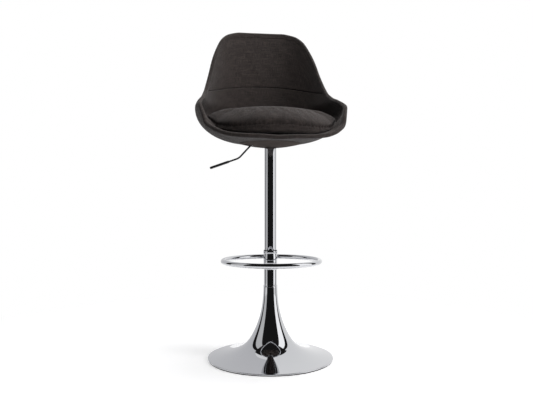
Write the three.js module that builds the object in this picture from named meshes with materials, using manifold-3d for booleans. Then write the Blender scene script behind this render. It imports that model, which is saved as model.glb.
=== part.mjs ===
// Gas-lift counter stool: a padded bucket seat on a telescoping chrome column,
// with a foot ring and a spun trumpet base. Millimetres, +Z up, floor at Z = 0,
// column axis on Z, and the front of the seat towards -Y.
import * as THREE from 'three';
import { mergeVertices } from 'three/addons/utils/BufferGeometryUtils.js';
import Module from 'manifold-3d';

const wasm = await Module();
wasm.setup();

// Fits shared by all pieces
const fitGap = 0.3;
const slideGap = 0.4;
const cutOverrun = 2;

// Base: one spun steel shell, from the floor rim up to the neck
const baseDiameter = 398;
const rimHeight = 6;
const shellWall = 1.2;
const neckLipHeight = 232;
const floorRingHeight = 2.7;
const floorRingWidth = 11;
const floorRingInset = 1.5;
const basePlateWall = 1.6;
const plateDishRadius = 62;
const plateDishHeight = 6.6;
const ballastInset = 2;
const ballastEdgeInset = 21;
const ballastTop = 11;
const ballastClearance = 0.8;

// Column: fixed guide tube, moving mast, gas spring on a rod that stands in the base
const mastDiameter = 38;
const mastWall = 1.5;
const guideTubeWall = 1;
const springTubeDiameter = 28;
const springTubeWall = 1.5;
const springFootRise = 8;
const mastFootDrop = 4.7;
const springNoseLength = 45;
const springNoseDiameter = 26.2;
const springCapDepth = 12;
const rodDiameter = 10;
const rodSpigotDiameter = 8;
const rodPistonSpigotDiameter = 7;
const pistonRestGap = 2.2;
const pistonThickness = 9;
const pistonNutHeight = 4;
const pistonNutWidth = 13;
const crimpReach = 3;
const rodGuideThickness = 14;
const raceRadius = 15;
const raceThickness = 2;
const footFlangeThickness = 2;
const bearingThickness = 2.8;
const bufferRadius = 12;
const bufferLength = 9;
const clipThickness = 1.2;
const clipRadius = 7.5;
const clipGrooveDepth = 0.8;
const clipGrooveHeight = 7.2;
const clipOpeningTurnShare = 0.14;
const endCapRadius = 24;
const endCapWall = 1.6;
const endCapClearance = 1.5;
const rodEndHeight = 5.2;

// Foot ring: a hoop set off to the front, welded to its hub at the rear
const hubDiameter = 43.4;
const hubRise = 51;
const hubLength = 59;
const hubSeatDepth = 12;
const hubBeadHeight = 8;
const hubBeadReach = 0.8;
const hubBeadRiseShare = 0.3;
const hubGrooveDepth = 0.5;
const footRingRadius = 144;
const footRingTube = 14;
const footRingRise = 38;
const footRingOffset = 116;
const footRingTurnShare = -0.0165;
const bushWall = 1.1;
const bushFlangeHeight = 1.8;
const bushFlangeRadius = 21.5;

// Seat bucket: outer skin surface, its plan outline and the layers inside it
const seatFloorHeight = 684;
const bucketHalfWidth = 239;
const bucketCentreY = -12;
const bucketHalfDepthFront = 177;
const bucketHalfDepthBack = 223;
const bucketPlanShare = 2.58;
const flatFloorRadius = 75;
const bowlDepth = 107;
const wingTuck = 18;
const wingTuckHeight = 45;
const backHeight = 426;
const frontDroop = 9;
const frontDroopShare = 3;
const backLean = 70;
const backLeanShare = 0.9;
const backTaper = 27;
const backTaperShare = 1.5;
const coverWall = 3.7;
const bucketWall = 4;
const padWall = 4.7;
const layerGap = 0.4;
const coverHoleRadius = 84;
const bucketHoleRadius = 45;
const padHoleRadius = 112;
const rimFold = 14;
const foldClearance = 1.5;
const backSeamShare = 0.523;
const leverSlotWidth = 16;

// Seat cushion
const cushionSideGap = 30;
const cushionFrontGap = 17;
const cushionBackGap = 27;
const cushionPlanShare = 2.4;
const cushionCrownRise = 113;
const cushionFrontWall = 38;
const cushionSideWall = 18;
const cushionBulge = 5;
const cushionRestGap = 3.8;

// Mechanism under the seat
const plateSize = 120;
const plateThickness = 2.5;
const plateCornerRadius = 12;
const boltPattern = 84;
const boltHoleDiameter = 8.8;
const channelHalfLength = 31;
const channelHalfWidth = 19.5;
const channelWall = 2.5;
const channelDrop = 9.2;
const socketWall = 2.4;
const socketLength = 34;
const undersideDrop = 12;
const undersideRadius = 97;
const undersideFlatRadius = 30;
const undersideRise = 11.2;
const undersideCurve = 1.5;
const undersideWall = 1.6;
const leverSlotInner = 10;
const leverSlotOuter = 22;
const boardSize = 120;
const boardCornerRadius = 20;
const boardThickness = 4.2;
const boltShankDiameter = 7.8;
const boltHeadWidth = 13;
const boltHeadHeight = 3.9;
const boltFlangeRadius = 8.4;
const boltFlangeHeight = 1.2;
const nutBarrelRadius = 5.2;
const nutFlangeRadius = 8;
const nutFlangeHeight = 1.2;

// Height release: button in the spring's top, bent lever on a cross pin
const buttonDiameter = 8;
const buttonDrop = 2.4;
const buttonLength = 14;
const leverRodDiameter = 5.5;
const leverPivotX = -24;
const leverPivotDrop = 4;
const leverEyeRadius = 4.9;
const leverEyeWidth = 12;
const pivotPinDiameter = 4;
const pivotPinHeadLength = 1;
const leverInnerEndX = 8;
const leverKneeX = -36;
const leverExitX = -62;
const leverExitDrop = 5.5;
const leverBendX = -101;
const leverBendDrop = 48;
const leverTipX = -190;
const leverTipDrop = 79.5;
const leverBendRadius = 9;
const gripDiameter = 8;
const gripLength = 62;
const gripTipShare = 0.7;
const gripMouthShare = 0.85;

// Facets
const baseFacets = 48;
const columnFacets = 24;
const smallFacets = 12;
const cornerFacets = 4;
const bucketStations = 44;
const bowlSteps = 4;
const backSteps = 4;
const rollSteps = 4;
const hoopFacets = 40;
const tubeSides = 8;
const leverSteps = 34;
const dishSteps = 4;
const ballastSteps = 4;

const quarterTurn = Math.PI / 2;
const fullTurn = 2 * Math.PI;

const mastRadius = mastDiameter / 2;
const guideBore = mastRadius + slideGap;
const guideTubeRadius = guideBore + guideTubeWall;
const hubBore = guideTubeRadius + fitGap;
const hubRadius = hubDiameter / 2;
const springTubeRadius = springTubeDiameter / 2;
const springBore = springTubeRadius - springTubeWall;
const basePlateBottom = floorRingHeight + fitGap;
const baseCentreTop = basePlateBottom + plateDishHeight + basePlateWall;
const rodShoulderHeight = baseCentreTop + raceThickness * 2 + bearingThickness + fitGap * 4;
const springTubeBottom = neckLipHeight + springFootRise;
const hubBottom = neckLipHeight + hubRise;
const pistonHeight = springTubeBottom + springTubeWall + fitGap + rodGuideThickness + pistonRestGap;
const mastBottom = springTubeBottom - mastFootDrop;
const hubTop = hubBottom + hubLength;
const guideTubeTop = hubBottom + hubSeatDepth;
const footRingHeight = hubBottom + footRingRise;
const backTopHeight = seatFloorHeight + backHeight;
const backSeamHeight = seatFloorHeight + backHeight * backSeamShare;
const plateTop = seatFloorHeight + coverWall;
const plateBottom = plateTop - plateThickness;
const channelBottom = seatFloorHeight - channelDrop;
const undersideBottom = seatFloorHeight - undersideDrop;
const buttonTop = seatFloorHeight - buttonDrop;
const leverPivotZ = seatFloorHeight - leverPivotDrop;
const leverExitZ = seatFloorHeight - leverExitDrop;
const leverBendZ = seatFloorHeight - leverBendDrop;
const leverTipZ = seatFloorHeight - leverTipDrop;
const leverSlotStart = -leverExitX - leverSlotInner;
const leverSlotEnd = -leverExitX + leverSlotOuter;
const springTubeTop = channelBottom + channelWall + fitGap;
const shellInner = coverWall + layerGap;
const shellOuterFace = shellInner + bucketWall;
const padOuterFace = shellOuterFace + layerGap;
const bucketThickness = padOuterFace + padWall;
const boardBottom = seatFloorHeight + padOuterFace;
const boardTop = boardBottom + boardThickness;
const cushionHalfWidth = bucketHalfWidth - cushionSideGap;
const cushionFront = bucketHalfDepthFront - cushionFrontGap;
const cushionBack = bucketHalfDepthBack - cushionBackGap;
const cushionHalfDepth = (cushionFront + cushionBack) / 2;
const cushionCentreY = bucketCentreY + (cushionBack - cushionFront) / 2;
const cushionCrownHeight = seatFloorHeight + cushionCrownRise;

const chrome = new THREE.MeshStandardMaterial({ color: 0xc9c8ce, roughness: 0.07, metalness: 1 });
const brightSteel = new THREE.MeshStandardMaterial({ color: 0xb9bcc0, roughness: 0.25, metalness: 1 });
const blackSteel = new THREE.MeshStandardMaterial({ color: 0x26272a, roughness: 0.5, metalness: 0.7 });
const castIron = new THREE.MeshStandardMaterial({ color: 0x3a3b3d, roughness: 0.85, metalness: 0.6 });
const rubber = new THREE.MeshStandardMaterial({ color: 0x171717, roughness: 0.9, metalness: 0 });
const nylon = new THREE.MeshStandardMaterial({ color: 0x2a2a2c, roughness: 0.45, metalness: 0 });
const plywood = new THREE.MeshStandardMaterial({ color: 0xc59d68, roughness: 0.7, metalness: 0 });
const fabric = new THREE.MeshStandardMaterial({ color: 0x45413f, roughness: 0.95, metalness: 0 });
const gripPlastic = new THREE.MeshStandardMaterial({ color: 0x18181a, roughness: 0.4, metalness: 0 });

const stool = new THREE.Group();

// Turns a closed three.js geometry into a solid, with shared corners merged.
function solidFrom(geometry) {
  const bare = geometry.clone();
  bare.deleteAttribute('normal');
  bare.deleteAttribute('uv');
  const merged = mergeVertices(bare);
  const corners = merged.index.array;
  const kept = [];
  for (let i = 0; i < corners.length; i += 3) {
    const [a, b, c] = [corners[i], corners[i + 1], corners[i + 2]];
    if (a !== b && b !== c && c !== a) kept.push(a, b, c);
  }
  const vertProperties = new Float32Array(merged.attributes.position.array);
  const solid = new wasm.Manifold(new wasm.Mesh({ numProp: 3, vertProperties, triVerts: new Uint32Array(kept) }));
  if (solid.volume() > 0) return solid;
  for (let i = 0; i < kept.length; i += 3) [kept[i], kept[i + 1]] = [kept[i + 1], kept[i]];
  return new wasm.Manifold(new wasm.Mesh({ numProp: 3, vertProperties, triVerts: new Uint32Array(kept) }));
}

function addPiece(name, solid, material) {
  const made = solid.getMesh();
  const geometry = new THREE.BufferGeometry();
  geometry.setAttribute('position', new THREE.Float32BufferAttribute(made.vertProperties, 3));
  geometry.setIndex(new THREE.BufferAttribute(made.triVerts, 1));
  geometry.computeVertexNormals();
  const mesh = new THREE.Mesh(geometry, material);
  mesh.name = name;
  stool.add(mesh);
}

// Revolves a closed outline of [radius, height] pairs about the column axis.
function revolve(outline, facets) {
  const points = outline.map(([radius, height]) => new THREE.Vector2(radius, height));
  points.push(points[0].clone());
  const geometry = new THREE.LatheGeometry(points, facets);
  geometry.rotateX(quarterTurn);
  return solidFrom(geometry);
}

// A plain ring or disc: inner and outer radius, bottom and top.
function ringBetween(inner, outer, bottom, top, facets) {
  return revolve([[inner, bottom], [outer, bottom], [outer, top], [inner, top]], facets);
}

function extrudeUp(shape, bottom, height, curveSegments = smallFacets) {
  const geometry = new THREE.ExtrudeGeometry(shape, { depth: height, bevelEnabled: false, curveSegments });
  geometry.translate(0, 0, bottom);
  return solidFrom(geometry);
}

function upright(radius, x, y, bottom, top, facets = smallFacets) {
  const geometry = new THREE.CylinderGeometry(radius, radius, top - bottom, facets);
  geometry.rotateX(quarterTurn);
  geometry.translate(x, y, (bottom + top) / 2);
  return solidFrom(geometry);
}

function block(x0, x1, y0, y1, z0, z1) {
  const geometry = new THREE.BoxGeometry(x1 - x0, y1 - y0, z1 - z0);
  geometry.translate((x0 + x1) / 2, (y0 + y1) / 2, (z0 + z1) / 2);
  return solidFrom(geometry);
}

function roundedSquare(size, corner) {
  const half = size / 2;
  const shape = new THREE.Shape();
  shape.moveTo(corner - half, -half);
  shape.lineTo(half - corner, -half);
  shape.absarc(half - corner, corner - half, corner, -quarterTurn, 0);
  shape.absarc(half - corner, half - corner, corner, 0, quarterTurn);
  shape.absarc(corner - half, half - corner, corner, quarterTurn, Math.PI);
  shape.absarc(corner - half, corner - half, corner, Math.PI, Math.PI + quarterTurn);
  return shape;
}

function polygon(radius, sides) {
  const shape = new THREE.Shape();
  for (let side = 0; side < sides; side += 1) {
    const turn = (side / sides) * fullTurn;
    if (side === 0) shape.moveTo(radius * Math.cos(turn), radius * Math.sin(turn));
    else shape.lineTo(radius * Math.cos(turn), radius * Math.sin(turn));
  }
  return shape;
}

function hexagon(width) {
  const sides = 6;
  return polygon(width / 2 / Math.cos(Math.PI / sides), sides);
}

// Joins rings of points, one ring per station, into a closed body. Points that fall together
// where a ring pinches are merged, so a ring may also start and end on the axis. A ring's
// points from turnBack on run back along the first ones, and their facets are split the same
// way, so that the faces of two thin layers stay parallel.
function loft(rings, turnBack = rings[0].length) {
  const across = rings[0].length;
  const positions = rings.flat().flatMap((point) => [point.x, point.y, point.z]);
  const index = [];
  for (let i = 0; i < rings.length; i += 1) {
    const next = (i + 1) % rings.length;
    for (let k = 0; k < across; k += 1) {
      const beside = (k + 1) % across;
      const [a, b] = [i * across + k, next * across + k];
      const [c, d] = [next * across + beside, i * across + beside];
      if ((k + 1 >= turnBack) !== (i < rings.length / 2)) index.push(a, b, d, b, c, d);
      else index.push(a, b, c, a, c, d);
    }
  }
  const geometry = new THREE.BufferGeometry();
  geometry.setAttribute('position', new THREE.Float32BufferAttribute(positions, 3));
  geometry.setIndex(index);
  return solidFrom(geometry);
}

// Reads a smooth curve through a table of [at, value] pairs, without overshoot.
function readCurve(table, at) {
  const last = table.length - 1;
  let i = 0;
  while (i < last - 1 && at > table[i + 1][0]) i += 1;
  const slopeOf = (k) => (table[k + 1][1] - table[k][1]) / (table[k + 1][0] - table[k][0]);
  const tangentOf = (k) => {
    if (k === 0 || k === last) return 0;
    const [before, after] = [slopeOf(k - 1), slopeOf(k)];
    return before * after <= 0 ? 0 : (2 * before * after) / (before + after);
  };
  const [[x0, y0], [x1, y1]] = [table[i], table[i + 1]];
  const width = x1 - x0;
  const t = Math.min(Math.max((at - x0) / width, 0), 1);
  const rise = (1 - t) * (1 - t) * (1 + 2 * t) * y0 + t * t * (3 - 2 * t) * y1;
  return rise + width * t * (1 - t) * ((1 - t) * tangentOf(i) - t * tangentOf(i + 1));
}

// Trumpet base

// Guide points of the flare's curve, as shares of the way out from the neck to the rim and of the
// height. The curve leaves the neck upright, turns tightly at its foot and runs out nearly flat.
const flareGuideShares = [
  [0, 0.0616],
  [0.7022, 0.2816],
  [-0.1571, 0.1463],
];
const flareSteps = 12;

// Point of the flare's outline and its direction there, between the neck and the rim.
function flareAt(t) {
  const neck = new THREE.Vector2(guideTubeRadius + fitGap + shellWall, neckLipHeight);
  const rim = new THREE.Vector2(baseDiameter / 2 - shellWall, rimHeight);
  const across = rim.x - neck.x;
  const height = neck.y - rim.y;
  const guides = flareGuideShares.map(([out, up]) => [neck.x + across * out, rim.y + height * up]);
  let points = [neck, ...guides.map(([x, y]) => new THREE.Vector2(x, y)), rim];
  while (points.length > 2) {
    const before = points;
    points = before.slice(1).map((next, i) => before[i].clone().lerp(next, t));
  }
  const [from, to] = points;
  return { point: from.clone().lerp(to, t), tangent: to.clone().sub(from).normalize() };
}

function flareHeightAt(radius) {
  const halvings = 40;
  let low = 0;
  let high = 1;
  for (let pass = 0; pass < halvings; pass += 1) {
    const middle = (low + high) / 2;
    if (flareAt(middle).point.x < radius) low = middle;
    else high = middle;
  }
  return flareAt(low).point.y;
}

function trumpetBase() {
  const outer = [];
  const inner = [];
  for (let i = 0; i <= flareSteps; i += 1) {
    const t = i / flareSteps;
    const { point, tangent } = flareAt(t);
    outer.push([point.x, point.y]);
    inner.push([point.x + tangent.y * shellWall, point.y - tangent.x * shellWall]);
  }
  const rimRadius = baseDiameter / 2;
  outer.push([rimRadius, rimHeight - shellWall], [rimRadius, basePlateBottom]);
  inner[0][1] = outer[0][1];
  inner[flareSteps] = [rimRadius - shellWall, rimHeight - shellWall];
  inner.push([rimRadius - shellWall, basePlateBottom]);
  return revolve([...outer, ...inner.reverse()], baseFacets);
}

// Pressed closing plate: flat at the floor ring, raised in a dish under the column.
function basePlate() {
  const edge = baseDiameter / 2 - shellWall - fitGap - rimHeight;
  const step = plateDishHeight;
  const bore = rodSpigotDiameter / 2 + slideGap;
  const low = basePlateBottom;
  const high = low + plateDishHeight;
  return revolve([
    [edge, low],
    [edge, low + basePlateWall],
    [plateDishRadius + step, low + basePlateWall],
    [plateDishRadius, high + basePlateWall],
    [bore, high + basePlateWall],
    [bore, high],
    [plateDishRadius - basePlateWall, high],
    [plateDishRadius + step - basePlateWall, low],
  ], baseFacets);
}

function ballastDisc() {
  const bottom = basePlateBottom + basePlateWall + fitGap;
  const inner = plateDishRadius + plateDishHeight + ballastInset;
  const outer = baseDiameter / 2 - ballastEdgeInset;
  const outline = [[inner, bottom], [outer, bottom]];
  for (let i = 0; i <= ballastSteps; i += 1) {
    const radius = outer + ((inner - outer) * i) / ballastSteps;
    const under = flareHeightAt(radius) - shellWall - ballastClearance;
    outline.push([radius, Math.min(under, ballastTop)]);
  }
  return revolve(outline, baseFacets);
}

function floorRing() {
  const outer = baseDiameter / 2 - floorRingInset;
  return ringBetween(outer - floorRingWidth, outer, 0, floorRingHeight, baseFacets);
}

// Column

function guideTube() {
  return ringBetween(guideBore, guideTubeRadius, baseCentreTop + fitGap, guideTubeTop, columnFacets);
}

function footRing() {
  const bead = hubTop - hubBeadHeight;
  const beadRise = hubBeadHeight * hubBeadRiseShare;
  const hub = revolve([
    [hubBore, hubBottom],
    [hubRadius - hubGrooveDepth, hubBottom],
    [hubRadius, hubBottom + hubGrooveDepth],
    [hubRadius, bead - hubGrooveDepth * 2],
    [hubRadius - hubGrooveDepth, bead - hubGrooveDepth],
    [hubRadius + hubBeadReach, bead + beadRise],
    [hubRadius + hubBeadReach, hubTop - beadRise],
    [hubRadius - hubGrooveDepth, hubTop],
    [hubBore, hubTop],
  ], columnFacets);
  const hoop = new THREE.TorusGeometry(footRingRadius, footRingTube / 2, tubeSides, hoopFacets);
  const turn = footRingTurnShare * fullTurn;
  hoop.translate(Math.sin(turn) * footRingOffset, -Math.cos(turn) * footRingOffset, footRingHeight);
  const bore = upright(hubBore, 0, 0, hubBottom - cutOverrun, hubTop + cutOverrun, columnFacets);
  return solidFrom(hoop).subtract(bore).add(hub);
}

// Nylon bush that guides the mast at the top of the hub.
function guideBush() {
  const inner = mastRadius + fitGap;
  const outer = inner + bushWall;
  const flange = hubTop + fitGap;
  return revolve([
    [inner, guideTubeTop + fitGap],
    [outer, guideTubeTop + fitGap],
    [outer, flange],
    [bushFlangeRadius, flange],
    [bushFlangeRadius, flange + bushFlangeHeight],
    [inner, flange + bushFlangeHeight],
  ], columnFacets);
}

function mastTube() {
  return ringBetween(mastRadius - mastWall, mastRadius, mastBottom, channelBottom - fitGap, columnFacets);
}

// Nylon ring that centres the gas spring in the foot of the mast.
function mastFootRing() {
  const inner = springTubeRadius + fitGap;
  const outer = mastRadius - mastWall - fitGap;
  const flange = mastBottom - fitGap;
  return revolve([
    [inner, flange - footFlangeThickness],
    [mastRadius - fitGap, flange - footFlangeThickness],
    [mastRadius - fitGap, flange],
    [outer, flange],
    [outer, flange + rodGuideThickness],
    [inner, flange + rodGuideThickness],
  ], columnFacets);
}

function springNoseRadiusAt(height) {
  const share = Math.min(Math.max((springTubeTop - height) / springNoseLength, 0), 1);
  return springNoseDiameter / 2 + (springTubeRadius - springNoseDiameter / 2) * share;
}

// Pressure tube of the gas spring, tapered at the top and rolled in at the foot.
function pressureTube() {
  const buttonBore = buttonDiameter / 2 + slideGap;
  const capBottom = springTubeTop - springCapDepth;
  return revolve([
    [springTubeRadius, springTubeBottom],
    [springTubeRadius, springTubeTop - springNoseLength],
    [springNoseRadiusAt(springTubeTop), springTubeTop],
    [buttonBore, springTubeTop],
    [buttonBore, capBottom],
    [springBore, capBottom],
    [springBore, springTubeBottom + springTubeWall],
    [springBore - crimpReach, springTubeBottom + springTubeWall],
    [springBore - crimpReach, springTubeBottom],
  ], columnFacets);
}

function rodGuide() {
  const bottom = springTubeBottom + springTubeWall + fitGap;
  const inner = rodDiameter / 2 + fitGap;
  return ringBetween(inner, springBore - fitGap, bottom, bottom + rodGuideThickness, columnFacets);
}

function pistonRod() {
  const spigot = rodSpigotDiameter / 2;
  const thin = rodPistonSpigotDiameter / 2;
  const rod = rodDiameter / 2;
  const groove = spigot - clipGrooveDepth;
  const grooveTop = clipGrooveHeight + clipThickness + fitGap * 2;
  const tip = pistonHeight + pistonThickness + pistonNutHeight + fitGap * 3;
  return revolve([
    [0, rodEndHeight],
    [spigot, rodEndHeight],
    [spigot, clipGrooveHeight],
    [groove, clipGrooveHeight],
    [groove, grooveTop],
    [spigot, grooveTop],
    [spigot, rodShoulderHeight],
    [rod, rodShoulderHeight],
    [rod, pistonHeight],
    [thin, pistonHeight],
    [thin, tip],
    [0, tip],
  ], smallFacets);
}

function piston() {
  const bottom = pistonHeight + fitGap;
  const inner = rodPistonSpigotDiameter / 2 + fitGap;
  const outer = springBore - slideGap;
  const waist = outer - crimpReach / 2;
  return revolve([
    [inner, bottom],
    [outer, bottom],
    [outer, bottom + pistonThickness / 3],
    [waist, bottom + pistonThickness / 3],
    [waist, bottom + (pistonThickness * 2) / 3],
    [outer, bottom + (pistonThickness * 2) / 3],
    [outer, bottom + pistonThickness],
    [inner, bottom + pistonThickness],
  ], columnFacets);
}

function pistonNut() {
  const bottom = pistonHeight + pistonThickness + fitGap * 2;
  const hole = upright(rodPistonSpigotDiameter / 2 + fitGap, 0, 0, bottom - cutOverrun,
    bottom + pistonNutHeight + cutOverrun);
  return extrudeUp(hexagon(pistonNutWidth), bottom, pistonNutHeight).subtract(hole);
}

// Thrust bearing on which the rod turns: two races with a ball cage between them.
function thrustStack() {
  const bottom = baseCentreTop + fitGap;
  const bore = rodSpigotDiameter / 2 + slideGap;
  const cageBottom = bottom + raceThickness + fitGap;
  const upperBottom = cageBottom + bearingThickness + fitGap;
  const cageTop = cageBottom + bearingThickness;
  const lower = ringBetween(bore, raceRadius, bottom, bottom + raceThickness, smallFacets);
  const cage = ringBetween(bore, raceRadius - slideGap, cageBottom, cageTop, smallFacets);
  const upper = ringBetween(bore, raceRadius, upperBottom, upperBottom + raceThickness, smallFacets);
  return { lower, cage, upper };
}

function rodBuffer() {
  const bottom = rodShoulderHeight + fitGap;
  const inner = rodDiameter / 2 + fitGap;
  return ringBetween(inner, bufferRadius, bottom, bottom + bufferLength, smallFacets);
}

// Open retaining clip in the groove under the base plate.
function rodClip() {
  const inner = rodSpigotDiameter / 2 - clipGrooveDepth + fitGap;
  const half = (clipOpeningTurnShare * fullTurn) / 2;
  const shape = new THREE.Shape();
  shape.absarc(0, 0, clipRadius, half, fullTurn - half, false);
  shape.absarc(0, 0, inner, fullTurn - half, half, true);
  return extrudeUp(shape, clipGrooveHeight + fitGap, clipThickness);
}

// Moulded cap in the dish under the base, over the rod's end and its clip.
function rodEndCap() {
  const top = basePlateBottom + plateDishHeight - fitGap;
  const inner = endCapRadius - endCapWall;
  return revolve([
    [0, endCapClearance],
    [endCapRadius, endCapClearance],
    [endCapRadius, top],
    [inner, top],
    [inner, endCapClearance + endCapWall],
    [0, endCapClearance + endCapWall],
  ], columnFacets);
}

// Seat bucket

// Height of the padded edge above the seat floor, from the front lip round to the back, as
// shares of the half turn and of the back's height. The wings stand before the quarter turn.
const rimHeightShares = [
  [0, 0.002],
  [0.083, 0.008],
  [0.167, 0.01],
  [0.222, 0.017],
  [0.278, 0.043],
  [0.306, 0.067],
  [0.333, 0.1],
  [0.367, 0.185],
  [0.4, 0.257],
  [0.43, 0.284],
  [0.5, 0.334],
  [0.556, 0.357],
  [0.589, 0.38],
  [0.623, 0.41],
  [0.655, 0.462],
  [0.69, 0.543],
  [0.71, 0.601],
  [0.736, 0.692],
  [0.774, 0.804],
  [0.82, 0.915],
  [0.861, 0.967],
  [0.917, 0.996],
  [1, 1],
];

function superellipse(halfWidth, halfFront, halfBack, centreY, share, turn) {
  const [s, c] = [Math.sin(turn), Math.cos(turn)];
  const reach = (v) => Math.sign(v) * Math.abs(v) ** (2 / share);
  const half = c > 0 ? halfFront : halfBack;
  return new THREE.Vector2(halfWidth * reach(s), centreY - half * reach(c));
}

// Plan outline of the outer skin at a height above the seat floor. Above the wings it draws in
// at the sides, and further up it tapers and leans back.
function bucketPlan(turn, rise) {
  const above = Math.max(rise - bowlDepth, 0);
  const up = above / (backTopHeight - seatFloorHeight - bowlDepth);
  const tuck = Math.min(above / wingTuckHeight, 1);
  const drawnIn = wingTuck * tuck * tuck * (3 - 2 * tuck) + backTaper * up ** backTaperShare;
  const centreY = bucketCentreY + backLean * up ** backLeanShare;
  return superellipse(bucketHalfWidth - drawnIn, bucketHalfDepthFront, bucketHalfDepthBack, centreY,
    bucketPlanShare, turn);
}

// Height of the edge for one turn of the plan outline: the table is read at the direction in
// which the edge lies from the column, and that direction follows from the height.
function rimRise(turn) {
  const passes = 12;
  const fullRise = backTopHeight - seatFloorHeight;
  let rise = 0;
  for (let pass = 0; pass < passes; pass += 1) {
    const edge = bucketPlan(turn, rise);
    const around = Math.abs(Math.atan2(edge.x, -edge.y)) / Math.PI;
    rise = (rise + readCurve(rimHeightShares, around) * fullRise) / 2;
  }
  return rise;
}

// How far the bowl droops towards its front lip, as a share of the way out from the flat floor.
function droopAt(turn, share) {
  return frontDroop * Math.max(Math.cos(turn), 0) ** frontDroopShare * share * share;
}

const wallTopShare = 2;

// The outer skin: a share of 0 to 1 runs up the bowl from the flat floor, and from 1 to the
// wall's top share up the wall.
function skinPoint(turn, share) {
  const rise = rimRise(turn);
  const bowlRise = Math.min(rise, bowlDepth);
  if (share > 1) {
    const height = bowlRise + (rise - bowlRise) * (share - 1);
    const plan = bucketPlan(turn, height);
    return new THREE.Vector3(plan.x, plan.y, seatFloorHeight + height - droopAt(turn, 1));
  }
  const edge = bucketPlan(turn, bowlRise);
  const radius = edge.length();
  const sweep = Math.acos(1 - bowlRise / bowlDepth);
  const run = (radius - flatFloorRadius) / Math.sin(sweep);
  const reach = flatFloorRadius + run * Math.sin(sweep * share);
  const height = bowlDepth * (1 - Math.cos(sweep * share)) - droopAt(turn, share);
  return new THREE.Vector3((edge.x / radius) * reach, (edge.y / radius) * reach, seatFloorHeight + height);
}

function skinNormal(turn, share) {
  const step = 0.01;
  const top = rimRise(turn) > bowlDepth ? wallTopShare : 1;
  const middle = Math.min(share, top);
  const up = skinPoint(turn, Math.min(middle + step, top)).sub(skinPoint(turn, middle - step));
  const along = skinPoint(turn + step, middle).sub(skinPoint(turn - step, middle));
  return new THREE.Vector3().crossVectors(up, along).normalize();
}

const longestBowlShare = 0.6;

// One meridian of the bucket, from the hole in the floor to the edge, as points and inward
// normals. The floor is flat, and the last row is the edge of the padding.
function bucketMeridian(turn) {
  const fineSteps = 40;
  const shares = [];
  for (let i = 0; i <= fineSteps * wallTopShare; i += 1) shares.push(i / fineSteps);
  const fine = shares.map((share) => skinPoint(turn, share));
  const lengths = [0];
  for (let i = 1; i < fine.length; i += 1) lengths.push(lengths[i - 1] + fine[i].distanceTo(fine[i - 1]));
  const total = lengths[lengths.length - 1];
  const bowlEnd = Math.min(lengths[fineSteps], total * longestBowlShare);
  const foldStart = total - rimFold;
  const stops = [];
  for (let i = 0; i <= bowlSteps; i += 1) stops.push((bowlEnd * i) / bowlSteps);
  for (let i = 1; i <= backSteps; i += 1) stops.push(bowlEnd + ((foldStart - bowlEnd) * i) / backSteps);
  stops.push(total);
  const floorNormal = new THREE.Vector3(0, 0, 1);
  const edge = bucketPlan(turn, 0).normalize();
  const at = (radius) => new THREE.Vector3(edge.x * radius, edge.y * radius, seatFloorHeight);
  const rows = [
    { point: at(bucketHoleRadius), normal: floorNormal },
    { point: at(flatFloorRadius), normal: floorNormal },
  ];
  for (const stop of stops.slice(1)) {
    let i = 1;
    while (i < fine.length - 1 && lengths[i] < stop) i += 1;
    const span = lengths[i] - lengths[i - 1];
    const part = span > 0 ? (stop - lengths[i - 1]) / span : 0;
    const share = shares[i - 1] + (shares[i] - shares[i - 1]) * part;
    rows.push({ point: skinPoint(turn, share), normal: skinNormal(turn, share) });
  }
  return { direction: edge, rows };
}

const stationFineness = 16;

// Stations go round the bucket at even steps along its edge.
function stationTurns() {
  const fine = bucketStations * stationFineness;
  const edgeAt = (i) => skinPoint((i / fine) * fullTurn, wallTopShare);
  const lengths = [0];
  for (let i = 1; i <= fine; i += 1) lengths.push(lengths[i - 1] + edgeAt(i).distanceTo(edgeAt(i - 1)));
  const turns = [];
  let i = 1;
  for (let station = 0; station < bucketStations; station += 1) {
    const goal = (lengths[fine] * station) / bucketStations;
    while (lengths[i] < goal) i += 1;
    const part = (goal - lengths[i - 1]) / (lengths[i] - lengths[i - 1]);
    turns.push(((i - 1 + part) / fine) * fullTurn);
  }
  return turns;
}

const meridians = stationTurns().map(bucketMeridian);

// A point of a meridian's row, set in from the outer skin by a depth.
function bucketPoint(meridian, row, depth) {
  const { point, normal } = meridian.rows[row];
  return point.clone().addScaledVector(normal, depth);
}

// The points of a layer's face along one meridian. The face starts at a given radius and
// stays on the same facets as its neighbours.
function layerFace(meridian, depth, startRadius, lastRow) {
  const face = [];
  for (let row = 0; row <= lastRow; row += 1) {
    const here = bucketPoint(meridian, row, depth);
    const reach = Math.hypot(here.x, here.y);
    const next = bucketPoint(meridian, Math.min(row + 1, lastRow), depth);
    const nextReach = Math.hypot(next.x, next.y);
    if (reach < startRadius && nextReach > startRadius) {
      face.push(here.clone().lerp(next, (startRadius - reach) / (nextReach - reach)));
    } else if (reach < startRadius) {
      face.push(null);
    } else {
      face.push(here);
    }
  }
  const first = face.find((point) => point !== null);
  return face.map((point) => point ?? first.clone());
}

function bucketLayer(outerDepth, innerDepth, startRadius) {
  const lastRow = bowlSteps + backSteps + 1;
  const rings = meridians.map((meridian) => {
    const outer = layerFace(meridian, outerDepth, startRadius, lastRow);
    const inner = layerFace(meridian, innerDepth, startRadius, lastRow);
    return [...outer, ...inner.reverse()];
  });
  const faceRows = lastRow + 1;
  return loft(rings, faceRows + 1);
}

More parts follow.
